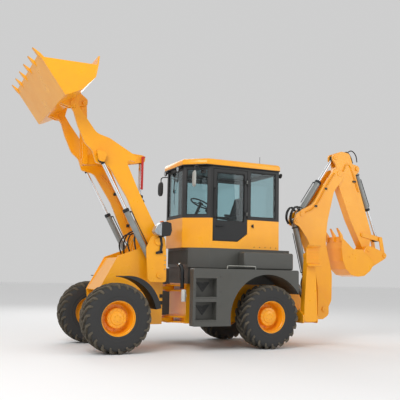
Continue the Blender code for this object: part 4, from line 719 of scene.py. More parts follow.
# ---------------------------------------------------------------- wheels
@dataclass
class Wheel:
    """One wheel: a turned rim with its hub and bolts, and a bar-lug tyre."""

    label: str
    x: float
    side: int
    track_half: float = 0.811
    radius: float = 0.5375
    rim_points: list[Pair] = field(default_factory=lambda: [
        (0, 0.100), (0.060, 0.100), (0.072, 0.093), (0.098, 0.091), (0.106, 0.080),
        (0.148, 0.072), (0.155, 0.062), (0.157, -0.030), (0.164, -0.042), (0.212, -0.045),
        (0.228, -0.030), (0.238, 0.010), (0.240, 0.090), (0.247, 0.128), (0.268, 0.150),
        (0.283, 0.154), (0.290, 0.161), (0.287, 0.168), (0.276, 0.170), (0.262, 0.166),
        (0.2555, 0.150), (0.2555, -0.150), (0.262, -0.166), (0.287, -0.168), (0.290, -0.160),
        (0.270, -0.150), (0.246, -0.130), (0.238, -0.085), (0, -0.085)])
    lugs: int = 22

    def build(self, array: Array) -> None:
        """Make the wheel's pieces.

        Args:
            array: The tree that repeats items.
        """
        body = "wheel_" + self.label
        centre = (self.x, self.side * self.track_half, self.radius)
        axis = (0, self.side, 0)
        rim = Shape().turned(self.rim_points, centre, axis, 64)
        rim.finish("rim_detail_" + self.label, YELLOW, body, ("rim_" + self.label,), soften=28)
        tyre = self._carcass(centre, axis)
        tyre.finish("tyre_detail_" + self.label, TYRE, body, ("tyre_" + self.label,), soften=50)
        meshes = []
        for hand in (-1, 1):
            meshes.append(array.repeat(self._lug(hand), TREAD, self.lugs, centre,
                                       turn=(0, 2 * math.pi / self.lugs, 0)))
        array.place("tyre_lugs_" + self.label, meshes, TREAD, body)
        nuts = []
        for count, ring, out, size in ((10, 0.190, -0.045, 0.017), (12, 0.128, 0.074, 0.009),
                                       (6, 0.046, 0.099, 0.007)):
            item = bolt(size, axis)
            bmesh.ops.translate(item.bm, vec=(0, self.side * out, ring), verts=item.bm.verts)
            nuts.append(array.repeat(item, YELLOW, count, centre,
                                     turn=(0, 2 * math.pi / count, 0)))
        array.place("wheel_bolts_" + self.label, nuts, YELLOW, body)

    def _carcass(self, centre: Triple, axis: Triple) -> Shape:
        """Turn the tyre's closed section: beads, sidewalls with rings, and the tread base.

        Args:
            centre: The wheel's middle.
            axis: Its direction.

        Returns:
            The shape, or itself, so that calls can be chained.
        """
        half = [(0.262, 0.150), (0.270, 0.171), (0.292, 0.176), (0.300, 0.1795), (0.306, 0.1765),
                (0.335, 0.184), (0.342, 0.1875), (0.349, 0.1855), (0.390, 0.1905),
                (0.425, 0.1890), (0.455, 0.1840), (0.478, 0.1760), (0.492, 0.1600),
                (0.499, 0.1200), (0.503, 0.0600)]
        section = half + [(0.504, 0.0)] + [(r, -v) for r, v in reversed(half)]
        return Shape().turned(section, centre, axis, 88, closed=True)

    def _lug(self, hand: int) -> Shape:
        """Make one slanted tread bar, from the tread's middle down over the shoulder.

        Args:
            hand: 1 for the left half of the tread, -1 for the right.

        Returns:
            The shape, or itself, so that calls can be chained.
        """
        item = Shape()
        stations = ((-0.010, 0.000, 0.5375, 0.030), (0.050, 0.045, 0.5372, 0.032),
                    (0.110, 0.105, 0.5350, 0.035), (0.160, 0.165, 0.5290, 0.039),
                    (0.182, 0.190, 0.5180, 0.041), (0.1915, 0.202, 0.4900, 0.040),
                    (0.1920, 0.212, 0.4520, 0.034))
        turn = math.pi / self.lugs if hand > 0 else 0.0
        rings = []
        for place, (v, back, top, wide) in enumerate(stations):
            low = 0.485 if v < 0.17 else (0.465 if place < 5 else top - 0.02)
            flank = 0.006 if place < 5 else 0.002
            inner = v if place < 4 else v - 0.022
            corners = []
            for radius, spread, out in ((low, wide / 2 + flank, inner), (top, wide / 2, v),
                                        (top, -wide / 2, v), (low, -wide / 2 - flank, inner)):
                angle = (back + spread) / 0.52 + turn
                corners.append(Vector((-radius * math.sin(angle), hand * out,
                                       radius * math.cos(angle))))
            rings.append(item.ring(corners))
        item.loft(rings)
        return item


# ---------------------------------------------------------------- cylinders
@dataclass
class Cylinder:
    """One hydraulic cylinder: a smooth tube with its gland and eyes, and a chromed rod."""

    name: str
    base: Triple
    eye: Triple
    barrel_body: str
    rod_body: str
    radius: float
    length: float
    rod_radius: float
    eye_width: float
    rod_eye_width: float
    pin: float
    inside: float
    eye_radius: float = 0.055
    rod_eye_radius: float = 0.045
    pin_axis: Triple = (0, 1, 0)
    port_side: Triple = (1, 0, 0)
    finish: Finish = BARREL
    replace: tuple[str, str] = ("", "")

    def build(self) -> None:
        """Make the barrel, its black ends, its pipe and the rod."""
        start, end = Vector(self.base), Vector(self.eye)
        ahead = (end - start).normalized()
        reach = (end - start).length
        across = Vector(self.pin_axis)
        radius = self.radius
        tube = Shape().turned([
            (0, 0.7 * self.eye_radius), (radius * 0.8, 0.75 * self.eye_radius),
            (radius, 0.95 * self.eye_radius), (radius, self.length - 0.052),
            (0, self.length - 0.052)], start, ahead, 40)
        tube.turned(self._eye(self.eye_radius, self.pin, self.eye_width),
                    start - across * self.eye_width / 2, across, 36, closed=True)
        tube.finish(self.name + "_tube", self.finish, self.barrel_body, (self.replace[0],))
        gland = Shape().turned([
            (self.rod_radius + 0.001, self.length - 0.056), (radius * 1.10, self.length - 0.056),
            (radius * 1.12, self.length - 0.052), (radius * 1.12, self.length - 0.012),
            (radius * 1.02, self.length - 0.006), (self.rod_radius * 1.5, self.length - 0.004),
            (self.rod_radius * 1.35, self.length), (self.rod_radius + 0.001, self.length)],
            start, ahead, 40, closed=True)
        gland.turned([(radius, 0.12), (radius * 1.035, 0.121), (radius * 1.035, 0.139),
                      (radius, 0.14)], start, ahead, 40)
        side = Vector(self.port_side)
        side = (side - ahead * side.dot(ahead)).normalized()
        low_port = start + ahead * 0.130
        high_port = start + ahead * (self.length - 0.085)
        for port in (low_port, high_port):
            gland.rod(port + side * radius * 0.9, port + side * (radius + 0.022), 0.015, 6)
        pipe = [high_port + side * (radius + 0.018), high_port + side * (radius + 0.034)
                - ahead * 0.02, high_port + side * (radius + 0.030) - ahead * 0.08,
                low_port + side * (radius + 0.030) + ahead * 0.10]
        gland.tube([tuple(p) for p in pipe], 0.0075, 10)
        gland.finish(self.name + "_gland", GLAND, self.barrel_body)
        rod = Shape().turned([(0, self.inside), (self.rod_radius, self.inside),
                              (self.rod_radius, reach - 0.4 * self.rod_eye_radius),
                              (0, reach - 0.4 * self.rod_eye_radius)], start, ahead, 36)
        rod.finish(self.name + "_chrome", CHROME, self.rod_body, (self.replace[1],))
        head = Shape().turned(self._eye(self.rod_eye_radius, self.pin, self.rod_eye_width),
                              end - across * self.rod_eye_width / 2, across, 36, closed=True)
        head.turned([(0, reach - self.rod_eye_radius - 0.035),
                     (self.rod_radius * 1.15, reach - self.rod_eye_radius - 0.033),
                     (self.rod_radius * 1.15, reach - self.rod_eye_radius * 0.75),
                     (0, reach - self.rod_eye_radius * 0.75)], start, ahead, 30)
        head.finish(self.name + "_rod_eye", GLAND, self.rod_body)

    @staticmethod
    def _eye(outer: float, pin: float, width: float) -> list[Pair]:
        """Return the section of an eye with chamfered faces round its pin.

        Args:
            outer: The eye's radius.
            pin: The pin's radius.
            width: Its width.

        Returns:
            The values, in order.
        """
        hole = pin + 0.0004
        return [(hole, 0), (outer - 0.003, 0), (outer, 0.003), (outer, width - 0.003),
                (outer - 0.003, width), (hole, width)]


def build_cylinders() -> None:
    """Make the eight hydraulic cylinders."""
    for side, label in ((1, "left"), (-1, "right")):
        y = side * 0.524
        Cylinder("lift_cylinder_" + label, (0.565, y, 1.200), (1.590, y, 3.037), "lift_barrels",
                 "lift_rods", 0.048, 1.219, 0.027, 0.090, 0.053, 0.030, 0.720, 0.055, 0.049,
                 port_side=(-1, 0, 0),
                 replace=("lift_barrel_" + label, "lift_rod_" + label)).build()
        Cylinder("stabiliser_cylinder_" + label, (-2.180, side * 0.250, 1.250),
                 (-2.180, side * 0.820, 0.745), "stabiliser_barrel_" + label,
                 "stabiliser_rod_" + label, 0.042, 0.600, 0.026, 0.090, 0.084, 0.025, 0.090,
                 0.044, 0.040, pin_axis=(1, 0, 0), port_side=(0, 0, 1),
                 replace=("stabiliser_barrel_" + label, "stabiliser_rod_" + label)).build()
    Cylinder("tilt_cylinder", (0.757, 0, 1.800), (0.740, 0, 3.200), "tilt_barrel", "tilt_rod",
             0.060, 0.775, 0.030, 0.110, 0.060, 0.028, 0.525, 0.057, 0.054,
             port_side=(-1, 0, 0), replace=("tilt_barrel", "tilt_rod")).build()
    Cylinder("boom_cylinder", (-2.430, 0, 2.300), (-2.720, 0, 1.135), "boom_barrel", "boom_rod",
             0.058, 1.090, 0.028, 0.094, 0.100, 0.028, 0.100, 0.055, 0.045,
             port_side=(1, 0, 0), replace=("boom_barrel", "boom_rod")).build()
    Cylinder("crowd_cylinder", (-2.530, 0, 2.430), (-3.350, 0, 3.620), "crowd_barrel",
             "crowd_rod", 0.062, 0.835, 0.028, 0.094, 0.088, 0.028, 0.620, 0.055, 0.045,
             port_side=(1, 0, 1), replace=("crowd_barrel", "crowd_rod")).build()
    Cylinder("hoe_cylinder", (-3.900, 0, 3.440), (-4.440, 0, 2.020), "hoe_bucket_barrel",
             "hoe_bucket_rod", 0.048, 0.900, 0.028, 0.094, 0.160, 0.025, 0.700, 0.055, 0.045,
             port_side=(-1, 0, 0), replace=("hoe_bucket_barrel", "hoe_bucket_rod")).build()


# ---------------------------------------------------------------- cab
@dataclass
class Cab:
    """The cab's glass, seals, lamps, mirrors, wiper, window locks and roof trim."""

    front: float = 0.080
    front_half: float = 0.370
    corner: float = -0.300
    half: float = 0.680
    back: float = -1.660
    sill: float = 2.235
    head: float = 3.040
    glass: float = 0.005

    def build(self, array: Array) -> None:
        """Make the cab's pieces.

        Args:
            array: The tree that repeats items.
        """
        self._fixed_glass()
        self._doors(array)
        self._roof_trim(array)
        self._mirrors()
        self._wiper()
        self._lower_trim(array)

    def _frame(self, shape: Shape, corners: list[Triple], width: float, depth: float) -> None:
        """Lay a rubber seal just inside four corners.

        Args:
            shape: The shape that gets it.
            corners: The corners, in order.
            width: Its width.
            depth: How far it stands out on each face.
        """
        points = [Vector(c) for c in corners]
        centre = sum(points, Vector()) / len(points)
        normal = (points[1] - points[0]).cross(points[2] - points[0]).normalized()
        outer = [p - normal * depth for p in points]
        inner = [p + (centre - p).normalized() * width * 1.4 - normal * depth for p in points]
        rings = [shape.ring(outer), shape.ring(inner),
                 shape.ring([p + normal * 2 * depth for p in inner]),
                 shape.ring([p + normal * 2 * depth for p in outer])]
        for first, second in zip(rings, rings[1:] + rings[:1]):
            shape.bridge(first, second)

    def _fixed_glass(self) -> None:
        """Glaze the front, the two front corners, the rear sides and the back."""
        low, high = self.sill + 0.001, self.head - 0.001
        panes = Shape()
        seals = Shape()
        nose = Vector((self.front, self.front_half, 0))
        turn = Vector((self.corner, self.half, 0))
        along = (turn - nose).normalized()
        first, last = nose + along * 0.062, turn - along * 0.052
        inset = Vector((-along.y, along.x, 0)) * 0.022
        if inset.y > 0:
            inset = -inset
        x = self.front - 0.022
        wide = self.front_half - 0.051
        faces = [[(x, -wide, low), (x, wide, low), (x, wide, high), (x, -wide, high)],
                 [(self.back + 0.024, 0.558, low), (self.back + 0.024, -0.558, low),
                  (self.back + 0.024, -0.558, high), (self.back + 0.024, 0.558, high)]]
        for side in (-1, 1):
            a, b = first + inset, last + inset
            faces.append([(a.x, side * a.y, low), (b.x, side * b.y, low),
                          (b.x, side * b.y, high), (a.x, side * a.y, high)])
            y = side * (self.half - 0.022)
            faces.append([(-1.081, y, low), (-1.589, y, low), (-1.589, y, high),
                          (-1.081, y, high)])
        for corners in faces:
            panes.panel(corners, self.glass)
            self._frame(seals, corners, 0.016, 0.008)
        panes.finish("cab_glass", GLASS, "rear")
        seals.finish("window_seals", RUBBER, "rear")

    def _doors(self, array: Array) -> None:
        """Glaze both doors, and give them their kick panels, handles and hinge bolts.

        Args:
            array: The tree that repeats items.
        """
        for side, label in ((1, "left"), (-1, "right")):
            body = "door_" + label
            y = side * (self.half - 0.020)
            front, back, low, high = -0.412, -0.958, 2.141, 2.988
            corners = [(front, y, low), (front, y, high), (back, y, high), (back, y, low)]
            Shape().panel(corners, self.glass).finish("door_glass_" + label, GLASS, body)
            seal = Shape()
            self._frame(seal, corners, 0.016, 0.009)
            seal.finish("door_seal_" + label, RUBBER, body)
            skin_y = sorted((side * (self.half + 0.0003), side * (self.half + 0.004)))
            skin = Shape().prism([(-0.372, 1.822), (-0.372, 2.125), (-0.998, 2.125),
                                  (-0.998, 1.952), (-0.826, 1.822)], *skin_y)
            skin.finish("door_panel_" + label, PLASTIC, body, bevel_mm=1.5)
            out = side * (self.half + 0.004)
            handle = Shape().rod((-0.425, out, 2.055), (-0.425, out + side * 0.018, 2.055), 0.016)
            handle.tube([(-0.425, out + side * 0.016, 2.055), (-0.455, out + side * 0.030, 2.057),
                         (-0.520, out + side * 0.031, 2.060), (-0.545, out + side * 0.024, 2.060)],
                        0.009)
            handle.tube([(-0.385, out - side * 0.002, 2.20), (-0.385, out + side * 0.028, 2.215),
                         (-0.385, out + side * 0.030, 2.45), (-0.385, out + side * 0.028, 2.685),
                         (-0.385, out - side * 0.002, 2.70)], 0.009)
            handle.finish("door_handle_" + label, PLASTIC, body)
            bolts = [array.repeat(bolt(0.007, (0, side, 0)), ZINC, 2,
                                  (-1.002, side * (self.half + 0.0195), level - 0.016),
                                  (0, 0, 0.032)) for level in (2.290, 2.850)]
            array.place("door_hinge_bolts_" + label, bolts, ZINC, body)

    def _roof_trim(self, array: Array) -> None:
        """Crown the roof, and add its gutter, work lamps, antenna and rivets.

        Args:
            array: The tree that repeats items.
        """
        plan = [(0.118, -0.425), (0.118, 0.425), (-0.205, 0.715), (-1.660, 0.715),
                (-1.668, 0.700), (-1.668, -0.700), (-1.660, -0.715), (-0.205, -0.715)]
        gutter = Shape().prism(plan, 3.0905, 3.104, Plane.XY)
        gutter.finish("roof_gutter", BLACK, "rear", bevel_mm=3)
        crown = Shape()
        rings = []
        for inset, z in ((0.0, 3.1045), (-0.001, 3.165), (0.016, 3.199), (0.060, 3.216),
                         (0.200, 3.226)):
            rings.append(crown.ring([
                Vector((x + (-inset if x > -0.5 else inset), y - math.copysign(inset, y), z))
                for x, y in plan]))
        crown.loft(rings)
        crown.finish("roof_shell", YELLOW, "rear", ("cab_roof",), bevel_mm=6, soften=50)
        housing, lens = Shape(), Shape()
        bowl = [(0, 0), (0.030, 0.002), (0.042, 0.012), (0.046, 0.034), (0.044, 0.036), (0, 0.034)]
        cover = [(0, 0.030), (0.041, 0.032), (0.038, 0.040), (0, 0.045)]
        for y in (-0.30, 0.30):
            housing.turned(bowl, (0.128, y, 3.040), (1, 0, -0.12), 28)
            housing.box((0.085, y - 0.010, 3.050), (0.118, y + 0.010, 3.0898))
            housing.box((0.100, y - 0.010, 3.035), (0.134, y + 0.010, 3.055))
            lens.turned(cover, (0.128, y, 3.040), (1, 0, -0.12), 28)
            housing.turned(bowl, (-1.715, y * 2.0, 3.040), (-1, 0, -0.2), 28)
            housing.box((-1.725, y * 2.0 - 0.010, 3.030), (-1.6605, y * 2.0 + 0.010, 3.050))
            lens.turned(cover, (-1.715, y * 2.0, 3.040), (-1, 0, -0.2), 28)
        housing.tube([(-1.35, 0.52, 3.20), (-1.35, 0.52, 3.27), (-1.352, 0.52, 3.36)], 0.004, 8)
        housing.finish("work_lamp_housings", PLASTIC, "rear")
        lens.finish("work_lamp_lenses", LENS, "rear")
        rows = []
        for side in (-1, 1):
            rows.append(array.repeat(rivet(0.008, (0, side, 0)), BLACK, 9,
                                     (-0.30, side * 0.7155, 3.097), (-0.165, 0, 0)))
        array.place("roof_rivets", rows, BLACK, "rear")

    def _mirrors(self) -> None:
        """Hang a mirror on an arm at each front pillar."""
        arms, pale, dark, faces = Shape(), Shape(), Shape(), Shape()
        for side in (-1, 1):
            foot = (-0.200, side * 0.600, 2.985)
            arms.tube([foot, (-0.10, side * 0.670, 3.035), (0.010, side * 0.755, 3.045),
                       (0.048, side * 0.778, 3.015), (0.050, side * 0.780, 2.955)], 0.010, 12)
            arms.box((-0.235, side * 0.600 - 0.030, 2.955), (-0.165, side * 0.600 + 0.012, 3.015))
            centre = Vector((0.050, side * 0.780, 2.820))
            shells = pale if side > 0 else dark
            rings = []
            for wide, deep in ((0.50, 0.030), (0.88, 0.024), (1.0, 0.010), (1.0, -0.004),
                               (0.95, -0.008)):
                rings.append(shells.ring([centre + Vector((deep + 0.15 * y * side, y, z))
                                          for y, z in self._oval(0.078 * wide, 0.135 * wide)]))
            shells.loft(rings)
            glass = [(-0.0088 + 0.15 * y * side, y, z) for y, z in self._oval(0.064, 0.120)]
            faces.panel([tuple(centre + Vector(p)) for p in glass], -0.002)
        arms.finish("mirror_arms", BLACK, "rear")
        pale.finish("mirror_shell_left", PALE, "rear")
        dark.finish("mirror_shell_right", PLASTIC, "rear")
        faces.finish("mirror_faces", MIRROR, "rear")

    @staticmethod
    def _oval(wide: float, tall: float) -> list[Pair]:
        """Return a squared oval's 32 points from its half width and half height.

        Args:
            wide: Half the width.
            tall: Half the height.

        Returns:
            The values, in order.
        """
        turns = [2 * math.pi * i / 32 for i in range(32)]
        return [(math.copysign(abs(math.cos(t)) ** 0.6, math.cos(t)) * wide,
                 math.copysign(abs(math.sin(t)) ** 0.6, math.sin(t)) * tall) for t in turns]

    def _wiper(self) -> None:
        """Park a wiper on the windscreen."""
        wiper = Shape().rod((0.058, 0.05, 3.062), (0.098, 0.05, 3.062), 0.014)
        wiper.tube([(0.092, 0.05, 3.060), (0.094, 0.0, 2.88), (0.086, -0.05, 2.70)], 0.005, 8)
        wiper.box((0.0595, -0.062, 2.46), (0.066, -0.056, 2.96))
        wiper.box((0.065, -0.066, 2.66), (0.088, -0.050, 2.72))
        wiper.finish("windscreen_wiper", RUBBER, "rear")

    def _lower_trim(self, array: Array) -> None:
        """Add the rear window locks and the cab's mounting bolts.

        Args:
            array: The tree that repeats items.
        """
        locks = Shape()
        for side in (-1, 1):
            locks.turned([(0, 0), (0.024, 0.001), (0.024, 0.010), (0.015, 0.016), (0.013, 0.030),
                          (0, 0.031)], (-1.120, side * 0.6803, 2.085), (0, side, 0), 24)
            locks.box((-1.128, min(side * 0.700, side * 0.712), 2.050),
                      (-1.112, max(side * 0.700, side * 0.712), 2.115))
        locks.finish("window_locks", PLASTIC, "rear", bevel_mm=2)
        rows = []
        for side in (-1, 1):
            rows.append(array.repeat(bolt(0.007, (0, side, 0)), BLACK, 5,
                                     (-1.16, side * 0.680, 1.72), (-0.11, 0, 0)))
        array.place("cab_mount_bolts", rows, BLACK, "rear")


# ---------------------------------------------------------------- seat and controls
@dataclass
class Operator:
    """The driver's seat with padded cushions, and the steering column and levers."""

    seat_x: float = -0.950
    floor: float = 1.721
    half: float = 0.230

    def build(self) -> None:
        """Make the seat and the controls."""
        self._cushion("seat_cushion", (-0.165, 0.262), (0.275, 0.375), 0.0, ("seat",))
        self._cushion("seat_back", (-0.050, 0.047), (0.400, 0.945), -0.19, ())
        base = Shape()
        x, z = self.seat_x, self.floor
        base.box((x - 0.12, -0.150, z), (x + 0.17, 0.150, z + 0.030))
        for level in range(5):
            low = z + 0.032 + level * 0.042
            base.turned([(0, low), (0.125, low), (0.140, low + 0.020), (0.125, low + 0.041),
                         (0, low + 0.041)], (x + 0.02, 0, 0), (0, 0, 1), 28)
        base.box((x - 0.15, -0.200, z + 0.246), (x + 0.22, 0.200, z + 0.268))
        armrest = [(x - 0.20, z + 0.25), (x - 0.12, z + 0.25), (x - 0.14, z + 0.53),
                   (x + 0.14, z + 0.55), (x + 0.15, z + 0.59), (x - 0.20, z + 0.59)]
        for side in (-1, 1):
            y = side * 0.236
            base.prism(armrest, *sorted((y, y - side * 0.032)))
        base.finish("seat_base", PLASTIC, "rear", bevel_mm=4)
        self._controls()

    def _cushion(self, name: str, xs: Pair, zs: Pair, lean: float,
                 replaces: tuple[str, ...]) -> None:
        """Make one padded cushion: a soft-edged block, swollen by a cloth simulation.

        Args:
            name: The piece's name.
            xs: Its ends along X, from the seat's middle.
            zs: Its bottom and top, above the floor.
            lean: How far its top lies behind its bottom.
            replaces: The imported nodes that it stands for.
        """
        block = Shape().box((self.seat_x + xs[0], -self.half + 0.012, self.floor + zs[0]),
                            (self.seat_x + xs[1], self.half - 0.012, self.floor + zs[1]))
        low = self.floor + zs[0]
        for vert in block.bm.verts:
            vert.co.x += lean * (vert.co.z - low) / (zs[1] - zs[0]) + (-0.14 if lean else 0)
        bmesh.ops.bevel(block.bm, geom=list(block.bm.edges), offset=0.022, segments=3,
                        profile=0.5, affect="EDGES")
        made = block.mesh(name, CLOTH, 60)
        remesh = made.modifiers.new("remesh", "REMESH")
        remesh.mode = "VOXEL"
        remesh.voxel_size = 0.006
        self._bake(made)
        start = [v.co.copy() for v in made.data.vertices]
        cloth = made.modifiers.new("swell", "CLOTH")
        cloth.settings.use_pressure = True
        cloth.settings.uniform_pressure_force = 4.0
        cloth.settings.effector_weights.gravity = 0.0
        cloth.settings.quality = 5
        for frame in range(1, 21):
            bpy.context.scene.frame_set(frame)
        self._bake(made)
        bpy.context.scene.frame_set(1)
        for vert, rest in zip(made.data.vertices, start):
            moved = vert.co - rest
            if moved.length > 0.014:
                vert.co = rest + moved.normalized() * 0.014
        self._pipe_seams(made)
        finer = made.modifiers.new("finer", "SUBSURF")
        finer.levels = finer.render_levels = 1
        made.data.shade_smooth()
        settle(made, "rear", replaces)

    def _bake(self, made: bpy.types.Object) -> None:
        """Turn the object's modifiers into its plain mesh.

        Args:
            made: The object.
        """
        graph = bpy.context.evaluated_depsgraph_get()
        plain = bpy.data.meshes.new_from_object(made.evaluated_get(graph), depsgraph=graph)
        made.modifiers.clear()
        old = made.data
        made.data = plain
        bpy.data.meshes.remove(old)
        if not plain.materials:
            plain.materials.append(CLOTH.build())

    def _pipe_seams(self, made: bpy.types.Object) -> None:
        """Press two sewn channels into the cushion, along it.

        Args:
            made: The object.
        """
        for vert in made.data.vertices:
            for seam in (-0.095, 0.095):
                near = abs(vert.co.y - seam) / 0.014
                if near < 1:
                    vert.co -= Vector(vert.normal) * 0.008 * (1 - near) ** 2

    def _controls(self) -> None:
        """Make the steering column, its wheel, the panel, levers and pedals."""
        foot = Vector((-0.290, 0, self.floor + 0.48))
        tip = Vector((-0.430, 0, self.floor + 0.78))
        axis = (tip - foot).normalized()
        column = Shape().prism([(-0.225, self.floor), (-0.225, self.floor + 0.50),
                                (-0.270, self.floor + 0.519), (-0.350, self.floor + 0.46),
                                (-0.335, self.floor + 0.30), (-0.300, self.floor)], -0.115, 0.115)
        column.rod(tuple(foot - axis * 0.05), tuple(tip), 0.026, 28)
        rim = []
        for i in range(12):
            t = 2 * math.pi * i / 12
            rim.append((0.190 + 0.0135 * math.cos(t), 0.0135 * math.sin(t)))
        column.turned(rim, tip, axis, 56, closed=True)
        column.turned([(0, -0.012), (0.045, -0.010), (0.050, 0.0), (0.040, 0.016), (0, 0.020)],
                      tip, axis, 28)
        side = Vector((0, 1, 0))
        other = axis.cross(side)
        for angle in (90, 210, 330):
            t = math.radians(angle)
            out = side * math.cos(t) + other * math.sin(t)
            column.tube([tuple(tip + out * r - axis * 0.006 * (1 - r / 0.19))
                         for r in (0.040, 0.09, 0.14, 0.184)], 0.008, 8)
        column.tube([(-0.345, 0.028, self.floor + 0.60), (-0.350, 0.10, self.floor + 0.615),
                     (-0.358, 0.150, self.floor + 0.63)], 0.006, 8)
        column.finish("steering_column", PLASTIC, "rear", ("steering_console",), bevel_mm=3)
        levers = Shape()
        knobs = Shape()
        for place, y in enumerate((-0.330, -0.285, -0.240)):
            top = (-0.700 + 0.02 * place, y, self.floor + 0.690)
            levers.tube([(-0.760, y, self.floor + 0.30), (-0.752, y, self.floor + 0.45), top],
                        0.0065, 8)
            knobs.turned([(0, -0.022), (0.014, -0.018), (0.021, 0.004), (0.016, 0.024),
                          (0, 0.030)], top, (0.1, 0, 1), 20)
        levers.box((-0.860, -0.370, self.floor), (-0.690, -0.215, self.floor + 0.30))
        for y in (-0.150, 0.160):
            low, high = self.floor + 0.06, self.floor + 0.13
            levers.panel([(-0.480, y - 0.04, low), (-0.480, y + 0.04, low),
                          (-0.400, y + 0.04, high), (-0.400, y - 0.04, high)], 0.008)
            levers.tube([(-0.435, y, self.floor + 0.095), (-0.39, y, self.floor + 0.07),
                         (-0.34, y, self.floor + 0.002)], 0.008, 8)
        levers.finish("control_levers", PLASTIC, "rear", bevel_mm=2)
        knobs.finish("lever_knobs", RUBBER, "rear")


# ---------------------------------------------------------------- deck and fenders
@dataclass
class Deck:
    """Trim on the engine deck and the fenders: grilles, lockers, steps, rails and filter."""

    half: float = 0.6805
    fender_outer: float = 1.000
    fender_top: float = 1.3305
    pocket_wall: float = 0.8403

    def build(self, array: Array) -> None:
        """Make the pieces.

        Args:
            array: The tree that repeats items.
        """
        self._grilles(array)
        self._steps(array)
        self._stack()
        self._rivets(array)

    def _grilles(self, array: Array) -> None:
        """Bar the front and the back, and stand a rounded locker on each fender.

        Args:
            array: The tree that repeats items.
        """
        bars = []
        slat = Shape().box((-0.002, -0.007, 0), (0.014, 0.007, 0.235))
        bars.append(array.repeat(slat, CHARCOAL, 19, (0.002, -0.405, 1.405), (0, 0.045, 0)))
        slat = Shape().box((-0.012, -0.007, 0), (0.002, 0.007, 0.235))
        bars.append(array.repeat(slat, CHARCOAL, 17, (-1.882, -0.360, 1.405), (0, 0.045, 0)))
        for side in (-1, 1):
            slat = Shape().box((-0.002, -0.006, 0), (0.010, 0.006, 0.180))
            bars.append(array.repeat(slat, CHARCOAL, 7, (0.1322, side * 0.530 - 0.090, 1.110),
                                     (0, 0.030, 0)))
        array.place("grille_bars", bars, CHARCOAL, "rear")
        lockers = Shape()
        for side in (-1, 1):
            y = sorted((side * self.half, side * 0.900))
            lockers.box((-1.830, y[0], self.fender_top), (-0.850, y[1], 1.625))
        lockers.finish("side_lockers", CHARCOAL, "rear", bevel_mm=26)

    def _steps(self, array: Array) -> None:
        """Tread the steps, rib their back walls with chevrons and rail the fenders.

        Args:
            array: The tree that repeats items.
        """
        treads = []
        for side in (-1, 1):
            for z in (0.500, 0.870):
                tooth = Shape().box((-0.010, -0.055, 0), (0.010, 0.055, 0.006))
                treads.append(array.repeat(tooth, CHARCOAL, 10,
                                           (-0.265, side * 0.925, z + 0.0005), (0.036, 0, 0)))
        array.place("step_treads", treads, CHARCOAL, "rear")
        ribs = []
        for side in (-1, 1):
            wall = side * self.pocket_wall
            for wide, drop in ((0.125, 0.0), (0.088, 0.018), (0.050, 0.036)):
                deep = wide * 1.35
                chevron = Shape().prism([(-wide, 0.0), (0.0, -deep), (wide, 0.0),
                                         (wide - 0.022, 0.0), (0.0, -deep + 0.034),
                                         (-wide + 0.022, 0.0)], *sorted((0.0, side * 0.009)))
                ribs.append(array.repeat(chevron, BLACK, 2, (-0.105, wall, 0.735 - drop * 0.2),
                                         (0, 0, 0.375)))
        array.place("step_chevrons", ribs, BLACK, "rear")
        lips = Shape()
        for side in (-1, 1):
            y = sorted((side * 0.998, side * 1.006))
            for z in (0.495, 0.865):
                lips.box((-0.292, y[0], z - 0.012), (0.082, y[1], z + 0.004))
        lips.finish("step_lips", CHARCOAL, "rear", bevel_mm=2)
        rails = Shape()
        for side in (-1, 1):
            rails.tube([(-1.050, side * 0.935, 1.329), (-1.045, side * 0.936, 1.366),
                        (-1.015, side * 0.937, 1.380), (-0.780, side * 0.937, 1.381),
                        (-0.545, side * 0.937, 1.380), (-0.515, side * 0.936, 1.366),
                        (-0.510, side * 0.935, 1.329)], 0.009, 12)
        rails.finish("fender_grab_rails", ZINC, "rear")

    def _stack(self) -> None:
        """Stand the intake elbow and the filter before the left fender, and cap the tank."""
        pipe = Shape().tube([(0.205, 0.585, 1.385), (0.195, 0.600, 1.372), (0.178, 0.625, 1.330),
                             (0.172, 0.640, 1.250), (0.172, 0.645, 1.120),
                             (0.172, 0.645, 0.990)], 0.032, 24)
        pipe.turned([(0.033, 0), (0.040, 0.002), (0.040, 0.024), (0.033, 0.026)],
                    (0.172, 0.644, 1.140), (0, 0, 1), 28)
        pipe.finish("intake_elbow", GLAND, "rear", soften=50)
        bright = Shape().turned([(0.031, 0), (0.036, 0.001), (0.036, 0.016), (0.031, 0.017)],
                                (0.208, 0.581, 1.390), (-0.45, 0.55, -0.60), 28, closed=True)
        bright.finish("intake_clamp", ZINC, "rear")
        can = Shape().turned([(0, 0), (0.036, 0.002), (0.040, 0.010), (0.040, 0.185),
                              (0.034, 0.197), (0.016, 0.200), (0, 0.200)],
                             (0.174, 0.720, 0.780), (0, 0, 1), 32)
        can.box((0.1303, 0.700, 0.860), (0.140, 0.740, 0.900))
        can.finish("filter_can", WHITE, "rear")
        cap = Shape().turned([(0, 0), (0.055, 0.001), (0.055, 0.020), (0.050, 0.028),
                              (0.030, 0.030), (0, 0.030)], (-1.680, 0.840, 1.331), (0, 0, 1), 12)
        cap.finish("tank_cap", PLASTIC, "rear", soften=20)

